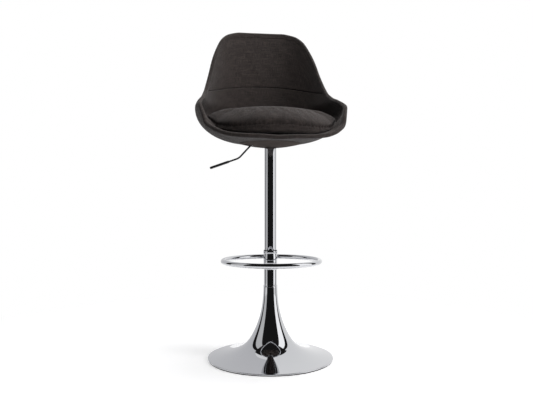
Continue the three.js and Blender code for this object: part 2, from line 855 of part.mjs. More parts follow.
// Fabric cover over the outside: it rolls over the padded edge and ends in a fold inside, just
// clear of the end of the shell and the pads.
function outerCover() {
  const lastRow = bowlSteps + backSteps + 2;
  const edges = meridians.map((meridian) => bucketPoint(meridian, lastRow, 0));
  const count = edges.length;
  const rings = meridians.map((meridian, i) => {
    const outer = layerFace(meridian, 0, coverHoleRadius, lastRow);
    const inner = layerFace(meridian, coverWall, coverHoleRadius, lastRow - 1);
    const along = edges[(i + 1) % count].clone().sub(edges[(i + count - 1) % count]).normalize();
    const faceNormal = bucketPoint(meridian, lastRow, 1).sub(edges[i]).normalize();
    const out = new THREE.Vector3().crossVectors(along, faceNormal).normalize();
    const roll = [];
    for (let k = 1; k < rollSteps; k += 1) {
      const turn = (k / rollSteps) * Math.PI;
      const across = (bucketThickness / 2) * (1 - Math.cos(turn));
      const point = edges[i].clone().addScaledVector(faceNormal, across);
      roll.push(point.addScaledVector(out, (bucketThickness / 2) * Math.sin(turn)));
    }
    const fold = [coverWall, bucketThickness].map((depth) => {
      const start = bucketPoint(meridian, lastRow - 1, depth);
      return start.lerp(bucketPoint(meridian, lastRow, depth), foldClearance / rimFold);
    });
    const foldTop = bucketPoint(meridian, lastRow, bucketThickness);
    return [...outer, ...roll, foldTop, fold[1], fold[0], ...inner.reverse()];
  });
  return loft(rings, lastRow + rollSteps);
}

function boltPlaces() {
  const half = boltPattern / 2;
  return [[-half, -half], [half, -half], [half, half], [-half, half]];
}

// Moulded inner shell, with bolt holes and a slot over the release lever.
function bucketShell() {
  let shell = bucketLayer(shellInner, shellOuterFace, bucketHoleRadius);
  const bottom = seatFloorHeight;
  const top = boardTop;
  for (const [x, y] of boltPlaces()) {
    shell = shell.subtract(upright(boltHoleDiameter / 2, x, y, bottom, top));
  }
  const slotEnd = -plateSize / 2 - leverRodDiameter;
  return shell.subtract(block(slotEnd, 0, -leverSlotWidth / 2, leverSlotWidth / 2, bottom, top));
}

// Inner upholstery, split at the sewn seam across the back.
function innerPads() {
  const pad = bucketLayer(padOuterFace, bucketThickness, padHoleRadius);
  const reach = baseDiameter;
  const above = block(-reach, reach, -reach, reach, backSeamHeight + fitGap / 2, backTopHeight + reach);
  const below = block(-reach, reach, -reach, reach, 0, backSeamHeight - fitGap / 2);
  return { upper: pad.intersect(above), lower: pad.intersect(below) };
}

// Seat cushion: its underside follows the bucket, its side wall bulges, and its top is crowned.
const undersideShares = [0.45, 0.7, 0.88];
const crownShares = [0.97, 0.88, 0.72, 0.5, 0.25];
const crownShare = 2.1;

function bucketFaceHeight(meridian, reach, depth) {
  const rows = meridian.rows.map((_, row) => bucketPoint(meridian, row, depth));
  for (let i = 1; i < rows.length; i += 1) {
    const [before, after] = [rows[i - 1], rows[i]];
    const [low, high] = [Math.hypot(before.x, before.y), Math.hypot(after.x, after.y)];
    if (reach <= high) return before.z + (after.z - before.z) * Math.max((reach - low) / (high - low), 0);
  }
  return rows[rows.length - 1].z;
}

function seatCushion() {
  const depth = bucketThickness + fitGap;
  const floor = boardTop + nutFlangeHeight + fitGap * 2;
  const under = (meridian, reach) => Math.max(bucketFaceHeight(meridian, reach, depth) + cushionRestGap, floor);
  const centreBottom = new THREE.Vector3(0, 0, floor);
  const centreTop = new THREE.Vector3(0, 0, cushionCrownHeight);
  const rings = meridians.map((meridian) => {
    const { direction } = meridian;
    const turn = Math.atan2(direction.x * cushionHalfDepth, -direction.y * cushionHalfWidth);
    const edge = superellipse(cushionHalfWidth, cushionHalfDepth, cushionHalfDepth, cushionCentreY,
      cushionPlanShare, turn);
    const reach = edge.length();
    const heading = edge.clone().divideScalar(reach);
    const frontness = (1 - heading.y) / 2;
    const wall = cushionSideWall + (cushionFrontWall - cushionSideWall) * frontness ** 2;
    const at = (radius, height) => new THREE.Vector3(heading.x * radius, heading.y * radius, height);
    const inner = reach - cushionBulge;
    const bottom = under(meridian, inner);
    const shoulder = bottom + wall;
    const points = [centreBottom.clone()];
    for (const share of undersideShares) {
      points.push(at(inner * share, under(meridian, inner * share)));
    }
    points.push(at(inner, bottom), at(reach, (bottom + shoulder) / 2), at(reach - fitGap, shoulder));
    for (const share of crownShares) {
      const dome = Math.sqrt(1 - share ** crownShare);
      points.push(at(reach * share, shoulder + (cushionCrownHeight - shoulder) * dome));
    }
    points.push(centreTop.clone());
    return points;
  });
  return loft(rings);
}

// Mechanism

function springSocketBore(height) {
  return springNoseRadiusAt(height) + fitGap;
}

function mechanismBody() {
  const slotHalf = leverSlotWidth / 2;
  const cutBottom = plateBottom - cutOverrun;
  const cutTop = plateTop + cutOverrun;
  let plate = extrudeUp(roundedSquare(plateSize, plateCornerRadius), plateBottom, plateThickness, cornerFacets);
  for (const [x, y] of boltPlaces()) {
    plate = plate.subtract(upright(boltHoleDiameter / 2, x, y, cutBottom, cutTop));
  }
  const slotStart = leverInnerEndX + leverRodDiameter;
  plate = plate.subtract(block(-plateSize, slotStart, -slotHalf, slotHalf, cutBottom, cutTop));
  const channel = block(-channelHalfLength, channelHalfLength, -channelHalfWidth, channelHalfWidth,
    channelBottom, plateBottom + fitGap);
  const inside = channelHalfWidth - channelWall;
  const hollow = block(-channelHalfLength - cutOverrun, channelHalfLength + cutOverrun, -inside, inside,
    channelBottom + channelWall, plateBottom + cutOverrun + fitGap);
  const eyeSlot = block(-channelHalfLength - cutOverrun, leverPivotX + leverEyeRadius + slideGap,
    -slotHalf, slotHalf, channelBottom - cutOverrun, channelBottom + channelWall + cutOverrun);
  const socketTop = channelBottom + channelWall;
  const socketBottom = socketTop - socketLength;
  const socketOuter = springSocketBore(socketBottom) + socketWall;
  const socket = ringBetween(0, socketOuter, socketBottom, socketTop, columnFacets);
  const bore = revolve([
    [0, socketBottom - cutOverrun],
    [springSocketBore(socketBottom - cutOverrun), socketBottom - cutOverrun],
    [springSocketBore(socketTop + cutOverrun), socketTop + cutOverrun],
    [0, socketTop + cutOverrun],
  ], columnFacets);
  const pinHole = crossCylinder(pivotPinDiameter / 2 + fitGap, channelHalfWidth + cutOverrun);
  return plate.add(channel.subtract(hollow).subtract(eyeSlot)).add(socket).subtract(bore).subtract(pinHole);
}

// A cylinder across the channel, on the lever's pivot axis.
function crossCylinder(radius, halfWidth) {
  const geometry = new THREE.CylinderGeometry(radius, radius, halfWidth * 2, smallFacets);
  geometry.translate(leverPivotX, 0, leverPivotZ);
  return solidFrom(geometry);
}

function leverPivotPin() {
  const head = crossCylinder(pivotPinDiameter / 2 + pivotPinHeadLength, pivotPinHeadLength);
  const headAt = channelHalfWidth + fitGap + pivotPinHeadLength;
  const pin = crossCylinder(pivotPinDiameter / 2, channelHalfWidth + fitGap * 2);
  return pin.add(head.translate([0, headAt, 0]));
}

// Shallow dish that hides the mechanism, with the column's hole and the lever's slot.
function undersideDish() {
  const run = undersideRadius - undersideFlatRadius;
  const drop = (radius) => undersideRise * (Math.max(radius - undersideFlatRadius, 0) / run) ** undersideCurve;
  const hole = mastRadius + fitGap;
  const outer = [[hole, undersideBottom]];
  const inner = [[hole, undersideBottom + undersideWall]];
  for (let i = 0; i <= dishSteps; i += 1) {
    const radius = undersideFlatRadius + (run * i) / dishSteps;
    outer.push([radius, undersideBottom + drop(radius)]);
    if (i < dishSteps) inner.push([radius, undersideBottom + drop(radius) + undersideWall]);
  }
  const dish = revolve([...outer, ...inner.reverse()], hoopFacets);
  const slot = block(-leverSlotEnd, -leverSlotStart, -leverSlotWidth / 2, leverSlotWidth / 2,
    undersideBottom - cutOverrun, seatFloorHeight);
  return dish.subtract(slot);
}

function seatBoard() {
  const hole = nutBarrelRadius + fitGap;
  let board = extrudeUp(roundedSquare(boardSize, boardCornerRadius), boardBottom, boardThickness, cornerFacets);
  for (const [x, y] of boltPlaces()) {
    board = board.subtract(upright(hole, x, y, boardBottom - cutOverrun, boardTop + cutOverrun));
  }
  return board;
}

function mountBolt([x, y]) {
  const flangeTop = plateBottom - fitGap;
  const flangeBottom = flangeTop - boltFlangeHeight;
  const headBottom = flangeBottom - boltHeadHeight + boltFlangeHeight;
  const head = extrudeUp(hexagon(boltHeadWidth), headBottom, boltHeadHeight);
  const flange = upright(boltFlangeRadius, 0, 0, flangeBottom, flangeTop);
  const shank = upright(boltShankDiameter / 2, 0, 0, flangeBottom, boardTop + nutFlangeHeight);
  return shank.add(flange).add(head).translate([x, y, 0]);
}

function teeNut([x, y]) {
  const bore = boltShankDiameter / 2 + fitGap;
  const flange = boardTop + fitGap;
  const nut = revolve([
    [bore, boardBottom + fitGap],
    [nutBarrelRadius, boardBottom + fitGap],
    [nutBarrelRadius, flange],
    [nutFlangeRadius, flange],
    [nutFlangeRadius, flange + nutFlangeHeight],
    [bore, flange + nutFlangeHeight],
  ], smallFacets);
  return nut.translate([x, y, 0]);
}

function releaseButton() {
  return upright(buttonDiameter / 2, 0, 0, buttonTop - buttonLength, buttonTop);
}

// Centre line of the lever, with its corners rounded.
function leverLine() {
  const level = buttonTop + fitGap + leverRodDiameter / 2;
  const corners = [
    [leverInnerEndX, level],
    [leverKneeX, level],
    [leverExitX, leverExitZ],
    [leverBendX, leverBendZ],
    [leverTipX, leverTipZ],
  ].map(([x, z]) => new THREE.Vector3(x, 0, z));
  const line = new THREE.CurvePath();
  let from = corners[0];
  for (let i = 1; i < corners.length - 1; i += 1) {
    const [before, corner, after] = [corners[i - 1], corners[i], corners[i + 1]];
    const enter = corner.clone().add(before.clone().sub(corner).setLength(leverBendRadius));
    const leave = corner.clone().add(after.clone().sub(corner).setLength(leverBendRadius));
    line.add(new THREE.LineCurve3(from, enter));
    line.add(new THREE.QuadraticBezierCurve3(enter, corner, leave));
    from = leave;
  }
  line.add(new THREE.LineCurve3(from, corners[corners.length - 1]));
  return line;
}

function releaseLever() {
  const section = polygon(leverRodDiameter / 2, tubeSides);
  const along = { extrudePath: leverLine(), steps: leverSteps, bevelEnabled: false };
  const rod = solidFrom(new THREE.ExtrudeGeometry(section, along));
  const eye = crossCylinder(leverEyeRadius, leverEyeWidth / 2);
  const hole = crossCylinder(pivotPinDiameter / 2 + fitGap, leverEyeWidth);
  return rod.add(eye).subtract(hole);
}

// Moulded sleeve over the outer end of the lever, closed at its tip.
function leverGrip() {
  const tip = new THREE.Vector3(leverTipX, 0, leverTipZ);
  const bend = new THREE.Vector3(leverBendX, 0, leverBendZ);
  const inward = bend.sub(tip).normalize();
  const radius = gripDiameter / 2;
  const bore = leverRodDiameter / 2 + fitGap;
  const closedEnd = -fitGap - radius / 2;
  const outline = [
    [0, closedEnd],
    [radius * gripTipShare, closedEnd],
    [radius, radius / 2],
    [radius, gripLength - radius],
    [radius * gripMouthShare, gripLength],
    [bore, gripLength],
    [bore, -fitGap],
    [0, -fitGap],
  ];
  const points = outline.map(([reach, along]) => new THREE.Vector2(reach, along));
  points.push(points[0].clone());
  const geometry = new THREE.LatheGeometry(points, tubeSides * 2);
  const upAxis = new THREE.Vector3(0, 1, 0);
  geometry.applyQuaternion(new THREE.Quaternion().setFromUnitVectors(upAxis, inward));
  geometry.translate(tip.x, tip.y, tip.z);
  return solidFrom(geometry);
}

addPiece('trumpet_base', trumpetBase(), chrome);
addPiece('base_plate', basePlate(), blackSteel);
addPiece('ballast_disc', ballastDisc(), castIron);
addPiece('floor_ring', floorRing(), rubber);
addPiece('guide_tube', guideTube(), chrome);
addPiece('foot_ring', footRing(), chrome);
addPiece('guide_bush', guideBush(), nylon);
const thrust = thrustStack();
addPiece('thrust_race_lower', thrust.lower, brightSteel);
addPiece('thrust_bearing', thrust.cage, brightSteel);
addPiece('thrust_race_upper', thrust.upper, brightSteel);
addPiece('rod_buffer', rodBuffer(), rubber);
addPiece('piston_rod', pistonRod(), brightSteel);
addPiece('rod_end_cap', rodEndCap(), nylon);
addPiece('rod_clip', rodClip(), brightSteel);
addPiece('piston', piston(), nylon);
addPiece('piston_nut', pistonNut(), brightSteel);
addPiece('rod_guide', rodGuide(), nylon);
addPiece('pressure_tube', pressureTube(), blackSteel);
addPiece('mast_foot_ring', mastFootRing(), nylon);
addPiece('mast_tube', mastTube(), chrome);
addPiece('mechanism_body', mechanismBody(), blackSteel);
addPiece('lever_pivot_pin', leverPivotPin(), brightSteel);
addPiece('underside_dish', undersideDish(), nylon);
addPiece('seat_board', seatBoard(), plywood);
boltPlaces().forEach((place, i) => {
  addPiece(`mount_bolt_${i + 1}`, mountBolt(place), brightSteel);
  addPiece(`tee_nut_${i + 1}`, teeNut(place), brightSteel);
});
addPiece('bucket_shell', bucketShell(), nylon);
addPiece('outer_cover', outerCover(), fabric);
const pads = innerPads();
addPiece('inner_pad_lower', pads.lower, fabric);
addPiece('back_pad_upper', pads.upper, fabric);
addPiece('seat_cushion', seatCushion(), fabric);
addPiece('release_button', releaseButton(), brightSteel);
addPiece('release_lever', releaseLever(), blackSteel);
addPiece('lever_grip', leverGrip(), gripPlastic);

export default stool;
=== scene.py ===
import math

import bmesh
import bpy
import numpy as np
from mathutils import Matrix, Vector


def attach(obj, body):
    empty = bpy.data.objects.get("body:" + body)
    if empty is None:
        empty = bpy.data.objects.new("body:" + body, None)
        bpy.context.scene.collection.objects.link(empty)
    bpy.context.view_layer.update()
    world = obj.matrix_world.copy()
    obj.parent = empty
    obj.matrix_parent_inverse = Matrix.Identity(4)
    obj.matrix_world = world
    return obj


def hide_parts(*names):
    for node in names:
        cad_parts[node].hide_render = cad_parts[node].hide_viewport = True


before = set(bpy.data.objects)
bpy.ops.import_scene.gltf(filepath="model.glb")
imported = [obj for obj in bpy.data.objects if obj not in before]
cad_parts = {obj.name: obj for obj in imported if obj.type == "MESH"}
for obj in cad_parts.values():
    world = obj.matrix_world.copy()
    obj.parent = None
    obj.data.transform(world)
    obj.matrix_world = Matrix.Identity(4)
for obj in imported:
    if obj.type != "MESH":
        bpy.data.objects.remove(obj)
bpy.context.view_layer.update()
mm = 0.001
tiny = 1e-9
fullTurn = 2 * math.pi
print("frame loaded:", len(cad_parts), "nodes")


# camera where the photographer stood: level, a little left of the seat's front
photo = {"width": 533, "azimuth": -7.5, "distance": 1.796, "height": 0.494, "focalPixels": 562.0,
         "axisPixel": 270.4, "horizonPixel": 203.0, "centrePixel": (266.5, 201.0), "sensor": 36.0}


def setCamera():
    camera = bpy.data.objects.new("photoCamera", bpy.data.cameras.new("photoCamera"))
    bpy.context.scene.collection.objects.link(camera)
    turn, far = math.radians(photo["azimuth"]), photo["distance"]
    camera.location = (far * math.sin(turn), -far * math.cos(turn), photo["height"])
    camera.rotation_euler = (math.radians(90), 0, turn)
    camera.data.sensor_width = photo["sensor"]
    camera.data.lens = photo["focalPixels"] * photo["sensor"] / photo["width"]
    camera.data.shift_x = -(photo["axisPixel"] - photo["centrePixel"][0]) / photo["width"]
    camera.data.shift_y = (photo["horizonPixel"] - photo["centrePixel"][1]) / photo["width"]
    bpy.context.scene.camera = camera


setCamera()
print("camera set")


# linear light of a display colour
def linear(hexColour):
    channels = [int(hexColour[i:i + 2], 16) / 255 for i in (1, 3, 5)]
    return (*[c / 12.92 if c <= 0.04045 else ((c + 0.055) / 1.055) ** 2.4 for c in channels], 1.0)


# gives a node's inputs, by place or by name, their values or sources; a node as a source means its
# first output
def connect(node, *placed, **named):
    for key, source in [*enumerate(placed), *named.items()]:
        socket = node.inputs[key.replace("_", " ") if isinstance(key, str) else key]
        if isinstance(source, (int, float, tuple)):
            socket.default_value = source
        elif source is not None:
            node.id_data.links.new(getattr(source, "outputs", [source])[0], socket)


# adds a node; names are its settings or its inputs
def addNode(tree, kind, *placed, **named):
    node = tree.nodes.new("ShaderNode" + kind)
    for name in [name for name in named if hasattr(node, name)]:
        setattr(node, name, named.pop(name))
    connect(node, *placed, **named)
    return node


def newMaterial(name, **surface):
    material = bpy.data.materials.new(name)
    material.use_nodes = True
    tree = material.node_tree
    shader = tree.nodes["Principled BSDF"]
    connect(shader, **surface)
    return material, tree, shader


# polished chrome plate on spun and welded steel: a clean mirror, faintly cool, with the slight
# unevenness of a polished pressing
chrome = {"tint": "#c6c7ca", "roughness": (0.02, 0.045), "patch": 60 * mm, "detail": 3.0, "bump": 0.05,
          "ripple": 0.02 * mm}


def chromePlate():
    material, tree, shader = newMaterial("chromePlate", Metallic=1.0, Base_Color=linear(chrome["tint"]))
    place = addNode(tree, "TexCoord").outputs["Object"]
    noise = addNode(tree, "TexNoise", Vector=place, Scale=1 / chrome["patch"], Detail=chrome["detail"])
    low, high = chrome["roughness"]
    rough = addNode(tree, "MapRange", Value=noise, To_Min=low, To_Max=high)
    bump = addNode(tree, "Bump", Height=noise, Strength=chrome["bump"], Distance=chrome["ripple"])
    connect(shader, Roughness=rough, Normal=bump)
    return material


# upholstery weave: plain-woven polyester that looks like linen, charcoal and warm grey yarns of
# uneven thickness; the real yarns are about 1 mm apart, and are drawn wider so that they show
# gap: the shares by which the yarns' colour is darkened in the troughs between them and lifted on their
# crowns; this is painted shade, with a faint painted highlight on the crowns
weave = {"yarn": 1.6 * mm, "dark": "#262120", "middle": "#332d2b", "light": "#463d3a",
         "stops": (0.36, 0.5, 0.66), "toneScale": 1.1, "slub": 0.06, "apart": 7.0, "detail": 2.0,
         "patch": 45 * mm, "gap": (0.6, 1.1), "shade": (0.85, 1.15), "relief": 0.35 * mm, "bump": 0.6,
         "roughness": 0.92, "specular": 0.25, "sheen": 0.15, "sheenRoughness": 0.5}


# reads the piece's own cloth coordinates, in metres across and along the fabric
def wovenFabric(name, tone=1.0):
    material, tree, shader = newMaterial(
        name, Roughness=weave["roughness"], Specular_IOR_Level=weave["specular"],
        Sheen_Weight=weave["sheen"], Sheen_Roughness=weave["sheenRoughness"])
    cloth = addNode(tree, "Attribute", attribute_name="cloth").outputs["Vector"]
    point = addNode(tree, "SeparateXYZ", cloth)
    counts = [addNode(tree, "Math", point.outputs[k], weave["yarn"], operation="DIVIDE") for k in (0, 1)]
    waves, tones = [], []
    for k in (0, 1):
        angle = addNode(tree, "Math", counts[k], math.pi, operation="MULTIPLY")
        sine = addNode(tree, "Math", angle, operation="SINE")
        waves.append(addNode(tree, "Math", sine, operation="ABSOLUTE"))
        slow = addNode(tree, "Math", counts[1 - k], weave["slub"], operation="MULTIPLY")
        along = addNode(tree, "CombineXYZ", counts[k], slow, weave["apart"] * k)
        tones.append(addNode(tree, "TexNoise", Vector=along, Scale=weave["toneScale"],
                             Detail=weave["detail"]))
    cell = addNode(tree, "CombineXYZ", *counts)
    over = addNode(tree, "TexChecker", Vector=cell, Scale=1.0).outputs["Fac"]
    height = addNode(tree, "Mix", over, None, *waves, data_type="FLOAT")
    yarnTone = addNode(tree, "Mix", over, None, *tones, data_type="FLOAT")
    ramp = addNode(tree, "ValToRGB", yarnTone)
    elements, stops = ramp.color_ramp.elements, weave["stops"]
    elements[0].position, elements[0].color = stops[0], linear(weave["dark"])
    elements[1].position, elements[1].color = stops[2], linear(weave["light"])
    elements.new(stops[1]).color = linear(weave["middle"])
    patch = addNode(tree, "TexNoise", Vector=cloth, Scale=1 / weave["patch"], Detail=weave["detail"])
    # painted shade: the weave's colour darkens where the yarns dip between each other and lifts a little on
    # their crowns as a painted highlight; the patches add the weave's own uneven tone
    deep, raised = weave["gap"]
    gap = addNode(tree, "MapRange", Value=height, To_Min=deep, To_Max=raised)
    low, high = weave["shade"]
    shade = addNode(tree, "MapRange", Value=patch, To_Min=low * tone, To_Max=high * tone)
    depth = addNode(tree, "Math", gap, shade, operation="MULTIPLY")
    toneWithPaintedGapShade = addNode(tree, "VectorMath", ramp, Scale=depth, operation="SCALE")
    bump = addNode(tree, "Bump", Height=height, Strength=weave["bump"], Distance=weave["relief"])
    connect(shader, Base_Color=toneWithPaintedGapShade, Normal=bump)
    return material


# rigid finishes of the pieces that the solids already show
finishes = {
    # black powder coat on steel: even satin with a fine orange peel
    "powderSteel": {"colour": "#1d1e20", "roughness": (0.42, 0.6), "grain": 1.2 * mm, "relief": 0.06 * mm},
    # zinc plate on steel: pale metal, softly clouded
    "zincSteel": {"colour": "#b4b6b8", "roughness": (0.22, 0.4), "grain": 6 * mm, "relief": 0.02 * mm,
                  "metal": 1.0},
    # raw cast iron: dark and rough, without a shine
    "castIron": {"colour": "#3a3b3d", "roughness": (0.75, 0.95), "grain": 2.5 * mm, "relief": 0.4 * mm},
    # moulded rubber: black and dull
    "mouldedRubber": {"colour": "#181818", "roughness": (0.75, 0.9), "grain": 1.5 * mm, "relief": 0.05 * mm},
    # moulded nylon: near black with a soft sheen
    "mouldedNylon": {"colour": "#242426", "roughness": (0.35, 0.5), "grain": 0.9 * mm, "relief": 0.03 * mm},
    # lever sleeve's plastic: black, a little glossier than the nylon
    "gripPlastic": {"colour": "#151517", "roughness": (0.3, 0.42), "grain": 0.8 * mm, "relief": 0.03 * mm},
    # flocked plastic shell: warm dark grey, as flat as felt
    "flockedShell": {"colour": "#4b4441", "roughness": (0.94, 1.0), "grain": 1.4 * mm, "relief": 0.2 * mm,
                     "specular": 0.12},
    # birch plywood: pale warm wood
    "birchPly": {"colour": "#c59d68", "roughness": (0.55, 0.75), "grain": 4 * mm, "relief": 0.05 * mm},
}
# what they share: size and shades of their cloudy patches, detail of the noise, strength of the grain
clouding = {"patch": 40 * mm, "shade": (0.8, 1.2), "detail": 3.0, "grainDetail": 4.0, "bump": 0.5}


def rigidFinish(name):
    made = finishes[name]
    material, tree, shader = newMaterial(name, Metallic=made.get("metal", 0.0),
                                         Specular_IOR_Level=made.get("specular", 0.5))
    place = addNode(tree, "TexCoord").outputs["Object"]
    grain = addNode(tree, "TexNoise", Vector=place, Scale=1 / made["grain"], Detail=clouding["grainDetail"])
    patch = addNode(tree, "TexNoise", Vector=place, Scale=1 / clouding["patch"], Detail=clouding["detail"])
    low, high = made["roughness"]
    rough = addNode(tree, "MapRange", Value=patch, To_Min=low, To_Max=high)
    ramp = addNode(tree, "ValToRGB", patch)
    for element, share in zip(ramp.color_ramp.elements, clouding["shade"]):
        element.color = (*[min(channel * share, 1) for channel in linear(made["colour"])[:3]], 1)
    bump = addNode(tree, "Bump", Height=grain, Strength=clouding["bump"], Distance=made["relief"])
    connect(shader, Roughness=rough, Base_Color=ramp, Normal=bump)
    return material


# mesh object of points in metres, with its faces turned outward
def meshObject(name, points, faces):
    mesh = bpy.data.meshes.new(name)
    mesh.from_pydata([tuple(p) for p in points], [], [tuple(f) for f in faces])
    mesh.validate()
    work = bmesh.new()
    work.from_mesh(mesh)
    bmesh.ops.recalc_face_normals(work, faces=work.faces)
    work.to_mesh(mesh)
    work.free()
    holder = bpy.data.objects.new(name, mesh)
    bpy.context.scene.collection.objects.link(holder)
    return holder


# everything below is built in millimetres and turned into metres here
def makePiece(name, points, faces, material, body, nodes=(), cloth=None):
    piece = meshObject(name, np.asarray(points) * mm, faces)
    mesh = piece.data
    if cloth is not None:
        layer = mesh.attributes.new("cloth", "FLOAT_VECTOR", "POINT")
        layer.data.foreach_set("vector", (np.asarray(cloth) * mm).ravel())
    mesh.polygons.foreach_set("use_smooth", [True] * len(mesh.polygons))
    mesh.materials.append(material)
    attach(piece, body)
    if nodes:
        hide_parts(*nodes)
    return piece


# four-sided faces between rows and columns of points, which may close on themselves
def gridFaces(rows, columns, closeRows, closeColumns):
    faces = []
    for i in range(rows if closeRows else rows - 1):
        for k in range(columns if closeColumns else columns - 1):
            a, b = i * columns + k, i * columns + (k + 1) % columns
            c, d = ((i + 1) % rows) * columns + (k + 1) % columns, ((i + 1) % rows) * columns + k
            faces.append((a, b, c, d))
    return faces


# points and faces of a closed outline of (radius, height) pairs turned about the column
def spin(outline, sides):
    turns = np.linspace(0, fullTurn, sides, endpoint=False)
    outline = np.array(outline, float)
    points = np.empty((sides, len(outline), 3))
    points[:, :, 0] = outline[None, :, 0] * np.sin(turns)[:, None]
    points[:, :, 1] = -outline[None, :, 0] * np.cos(turns)[:, None]
    points[:, :, 2] = outline[None, :, 1]
    return points.reshape(-1, 3), gridFaces(sides, len(outline), True, True)


# rounds the corners of a closed outline, so that their edges catch the light; a cut stays short of
# the middle of its side
def rounded(outline, radius, steps=4, overHalf=2.01):
    outline = np.array(outline, float)
    made = []
    for k, corner in enumerate(outline):
        before, after = outline[k - 1] - corner, outline[(k + 1) % len(outline)] - corner
        cut = min(radius, np.linalg.norm(before) / overHalf, np.linalg.norm(after) / overHalf)
        start = corner + before / np.linalg.norm(before) * cut
        end = corner + after / np.linalg.norm(after) * cut
        for t in np.linspace(0, 1, steps + 1):
            made.append((1 - t) ** 2 * start + 2 * t * (1 - t) * corner + t * t * end)
    return made


# closed tube along a path that never runs straight from front to back
def tubeAlong(path, radii, sides):
    path, radii = np.array(path, float), np.broadcast_to(radii, len(path))
    along = np.gradient(path, axis=0)
    along /= np.linalg.norm(along, axis=1)[:, None]
    across = np.array([0.0, 1.0, 0.0])
    points = []
    for point, forward, radius in zip(path, along, radii):
        second = np.cross(forward, across)
        second /= np.linalg.norm(second)
        for turn in np.linspace(0, fullTurn, sides, endpoint=False):
            points.append(point + radius * (math.cos(turn) * across + math.sin(turn) * second))
    faces = gridFaces(len(path), sides, False, True)
    faces.append(tuple(range(sides)))
    faces.append(tuple(range(len(points) - sides, len(points))))
    return np.array(points), faces


chromeMaterial = chromePlate()
fabric = wovenFabric("heatherWeave")
thread = wovenFabric("sewingThread", tone=1.25)
rigid = {name: rigidFinish(name) for name in finishes}
print("materials made")


# base: spun shell with a fine rolled edge, and the tubes of the column; each tube by its inner and
# outer radius and its lower and upper end
base = {"radius": 199.0, "rim": 6.0, "wall": 1.2, "neck": (21.9, 232.0), "bottom": 3.0, "soft": 0.35,
        "guides": ((0.0, 0.2557), (0.4553, 0.2879), (0.046, 0.108)), "steps": 96, "sides": 192}
column = {"guide": (19.4, 20.4, 11.5, 295.0), "mast": (17.5, 19.0, 235.3, 674.5), "corner": 0.4, "sides": 128}


# the flare runs from neck to rim as one smooth curve, drawn by its guides between the two
def flareOutline():
    t = np.linspace(0, 1, base["steps"] + 1)[:, None]
    radius, wall, low, soft = base["radius"], base["wall"], base["bottom"], base["soft"]
    neck, rim = np.array(base["neck"]), np.array([radius - wall, base["rim"]])
    corner = np.array([neck[0], rim[1]])
    span = np.array([rim[0] - neck[0], neck[1] - rim[1]])
    points = [neck, *[corner + span * guide for guide in base["guides"]], rim]
    while len(points) > 1:
        points = [before * (1 - t) + after * t for before, after in zip(points, points[1:])]
    outer = points[0]
    tangent = np.gradient(outer, axis=0)
    tangent /= np.linalg.norm(tangent, axis=1)[:, None]
    inner = outer + np.stack([tangent[:, 1], -tangent[:, 0]], axis=1) * wall
    inner[0, 1] = outer[0, 1]
    edge = [(radius - soft, base["rim"] - soft), (radius, base["rim"] - wall), (radius, low)]
    back = [(radius - wall, low), (radius - wall, base["rim"] - wall)]
    return [*outer, *edge, *back, *inner[::-1][1:]]


points, faces = spin(flareOutline(), base["sides"])
makePiece("trumpetShell", points, faces, chromeMaterial, "base", ["trumpet_base"])
for name, node, body, key in (("guideColumn", "guide_tube", "base", "guide"),
                              ("mastColumn", "mast_tube", "seat_carriage", "mast")):
    inner, outer, low, high = column[key]
    outline = rounded([(inner, low), (outer, low), (outer, high), (inner, high)], column["corner"])
    points, faces = spin(outline, column["sides"])
    makePiece(name, points, faces, chromeMaterial, body, [node])
print("base and column made")


# foot ring: bent tube welded to the back of a turned hub with a rolled bead; the hub's edge and
# groove are steps in from its radius, and up from its foot or down from its bead
ring = {"radius": 144.0, "tube": 7.0, "height": 321.0, "offset": 116.0, "turn": -0.0165, "sides": 160,
        "tubeSides": 28}
hub = {"bore": 20.7, "radius": 21.7, "low": 283.0, "high": 342.0, "edge": (0.4, 0.5), "groove": (0.5, 0.4),
       "grooveStart": 1.0, "bead": 8.0, "beadReach": 1.3, "beadHalf": 3.8, "beadSteps": 13, "sides": 128}


def footRing():
    turns = np.linspace(0, fullTurn, ring["sides"], endpoint=False)
    rolls = np.linspace(0, fullTurn, ring["tubeSides"], endpoint=False)
    heading = ring["turn"] * fullTurn
    centre = np.array([math.sin(heading), -math.cos(heading), 0]) * ring["offset"] + [0, 0, ring["height"]]
    out = ring["radius"] + ring["tube"] * np.cos(rolls)[None, :]
    up = np.broadcast_to(ring["tube"] * np.sin(rolls), (len(turns), len(rolls)))
    hoop = np.stack([out * np.cos(turns)[:, None], out * np.sin(turns)[:, None], up], axis=2) + centre
    return hoop.reshape(-1, 3), gridFaces(len(turns), len(rolls), True, True)


def hubOutline():
    radius, low, high, bead = hub["radius"], hub["low"], hub["high"], hub["high"] - hub["bead"]
    chamfer, lift = hub["edge"]
    deep, under = hub["groove"]
    angles = np.radians(np.linspace(-90, 90, hub["beadSteps"]))
    middle = (bead + high) / 2
    roll = [(radius - deep + hub["beadReach"] * math.cos(a), middle + hub["beadHalf"] * math.sin(a))
            for a in angles]
    return [(hub["bore"], low), (radius - chamfer, low), (radius, low + lift),
            (radius, bead - hub["grooveStart"]), (radius - deep, bead - under), *roll, (hub["bore"], high)]


hoop, faces = footRing()
hubPoints, hubFaces = spin(hubOutline(), hub["sides"])
faces += [tuple(len(hoop) + i for i in face) for face in hubFaces]
makePiece("footHoop", np.vstack([hoop, hubPoints]), faces, chromeMaterial, "base", ["foot_ring"])

# nylon bush in the hub's mouth
bush = {"inner": 19.3, "outer": 20.4, "low": 295.3, "flangeLow": 342.3, "flange": 21.5, "high": 344.1,
        "corner": 0.35, "sides": 96}
outline = [(bush["inner"], bush["low"]), (bush["outer"], bush["low"]), (bush["outer"], bush["flangeLow"]),
           (bush["flange"], bush["flangeLow"]), (bush["flange"], bush["high"]), (bush["inner"], bush["high"])]
points, faces = spin(rounded(outline, bush["corner"]), bush["sides"])
makePiece("hubBush", points, faces, rigid["mouldedNylon"], "base", ["guide_bush"])
print("foot ring made")


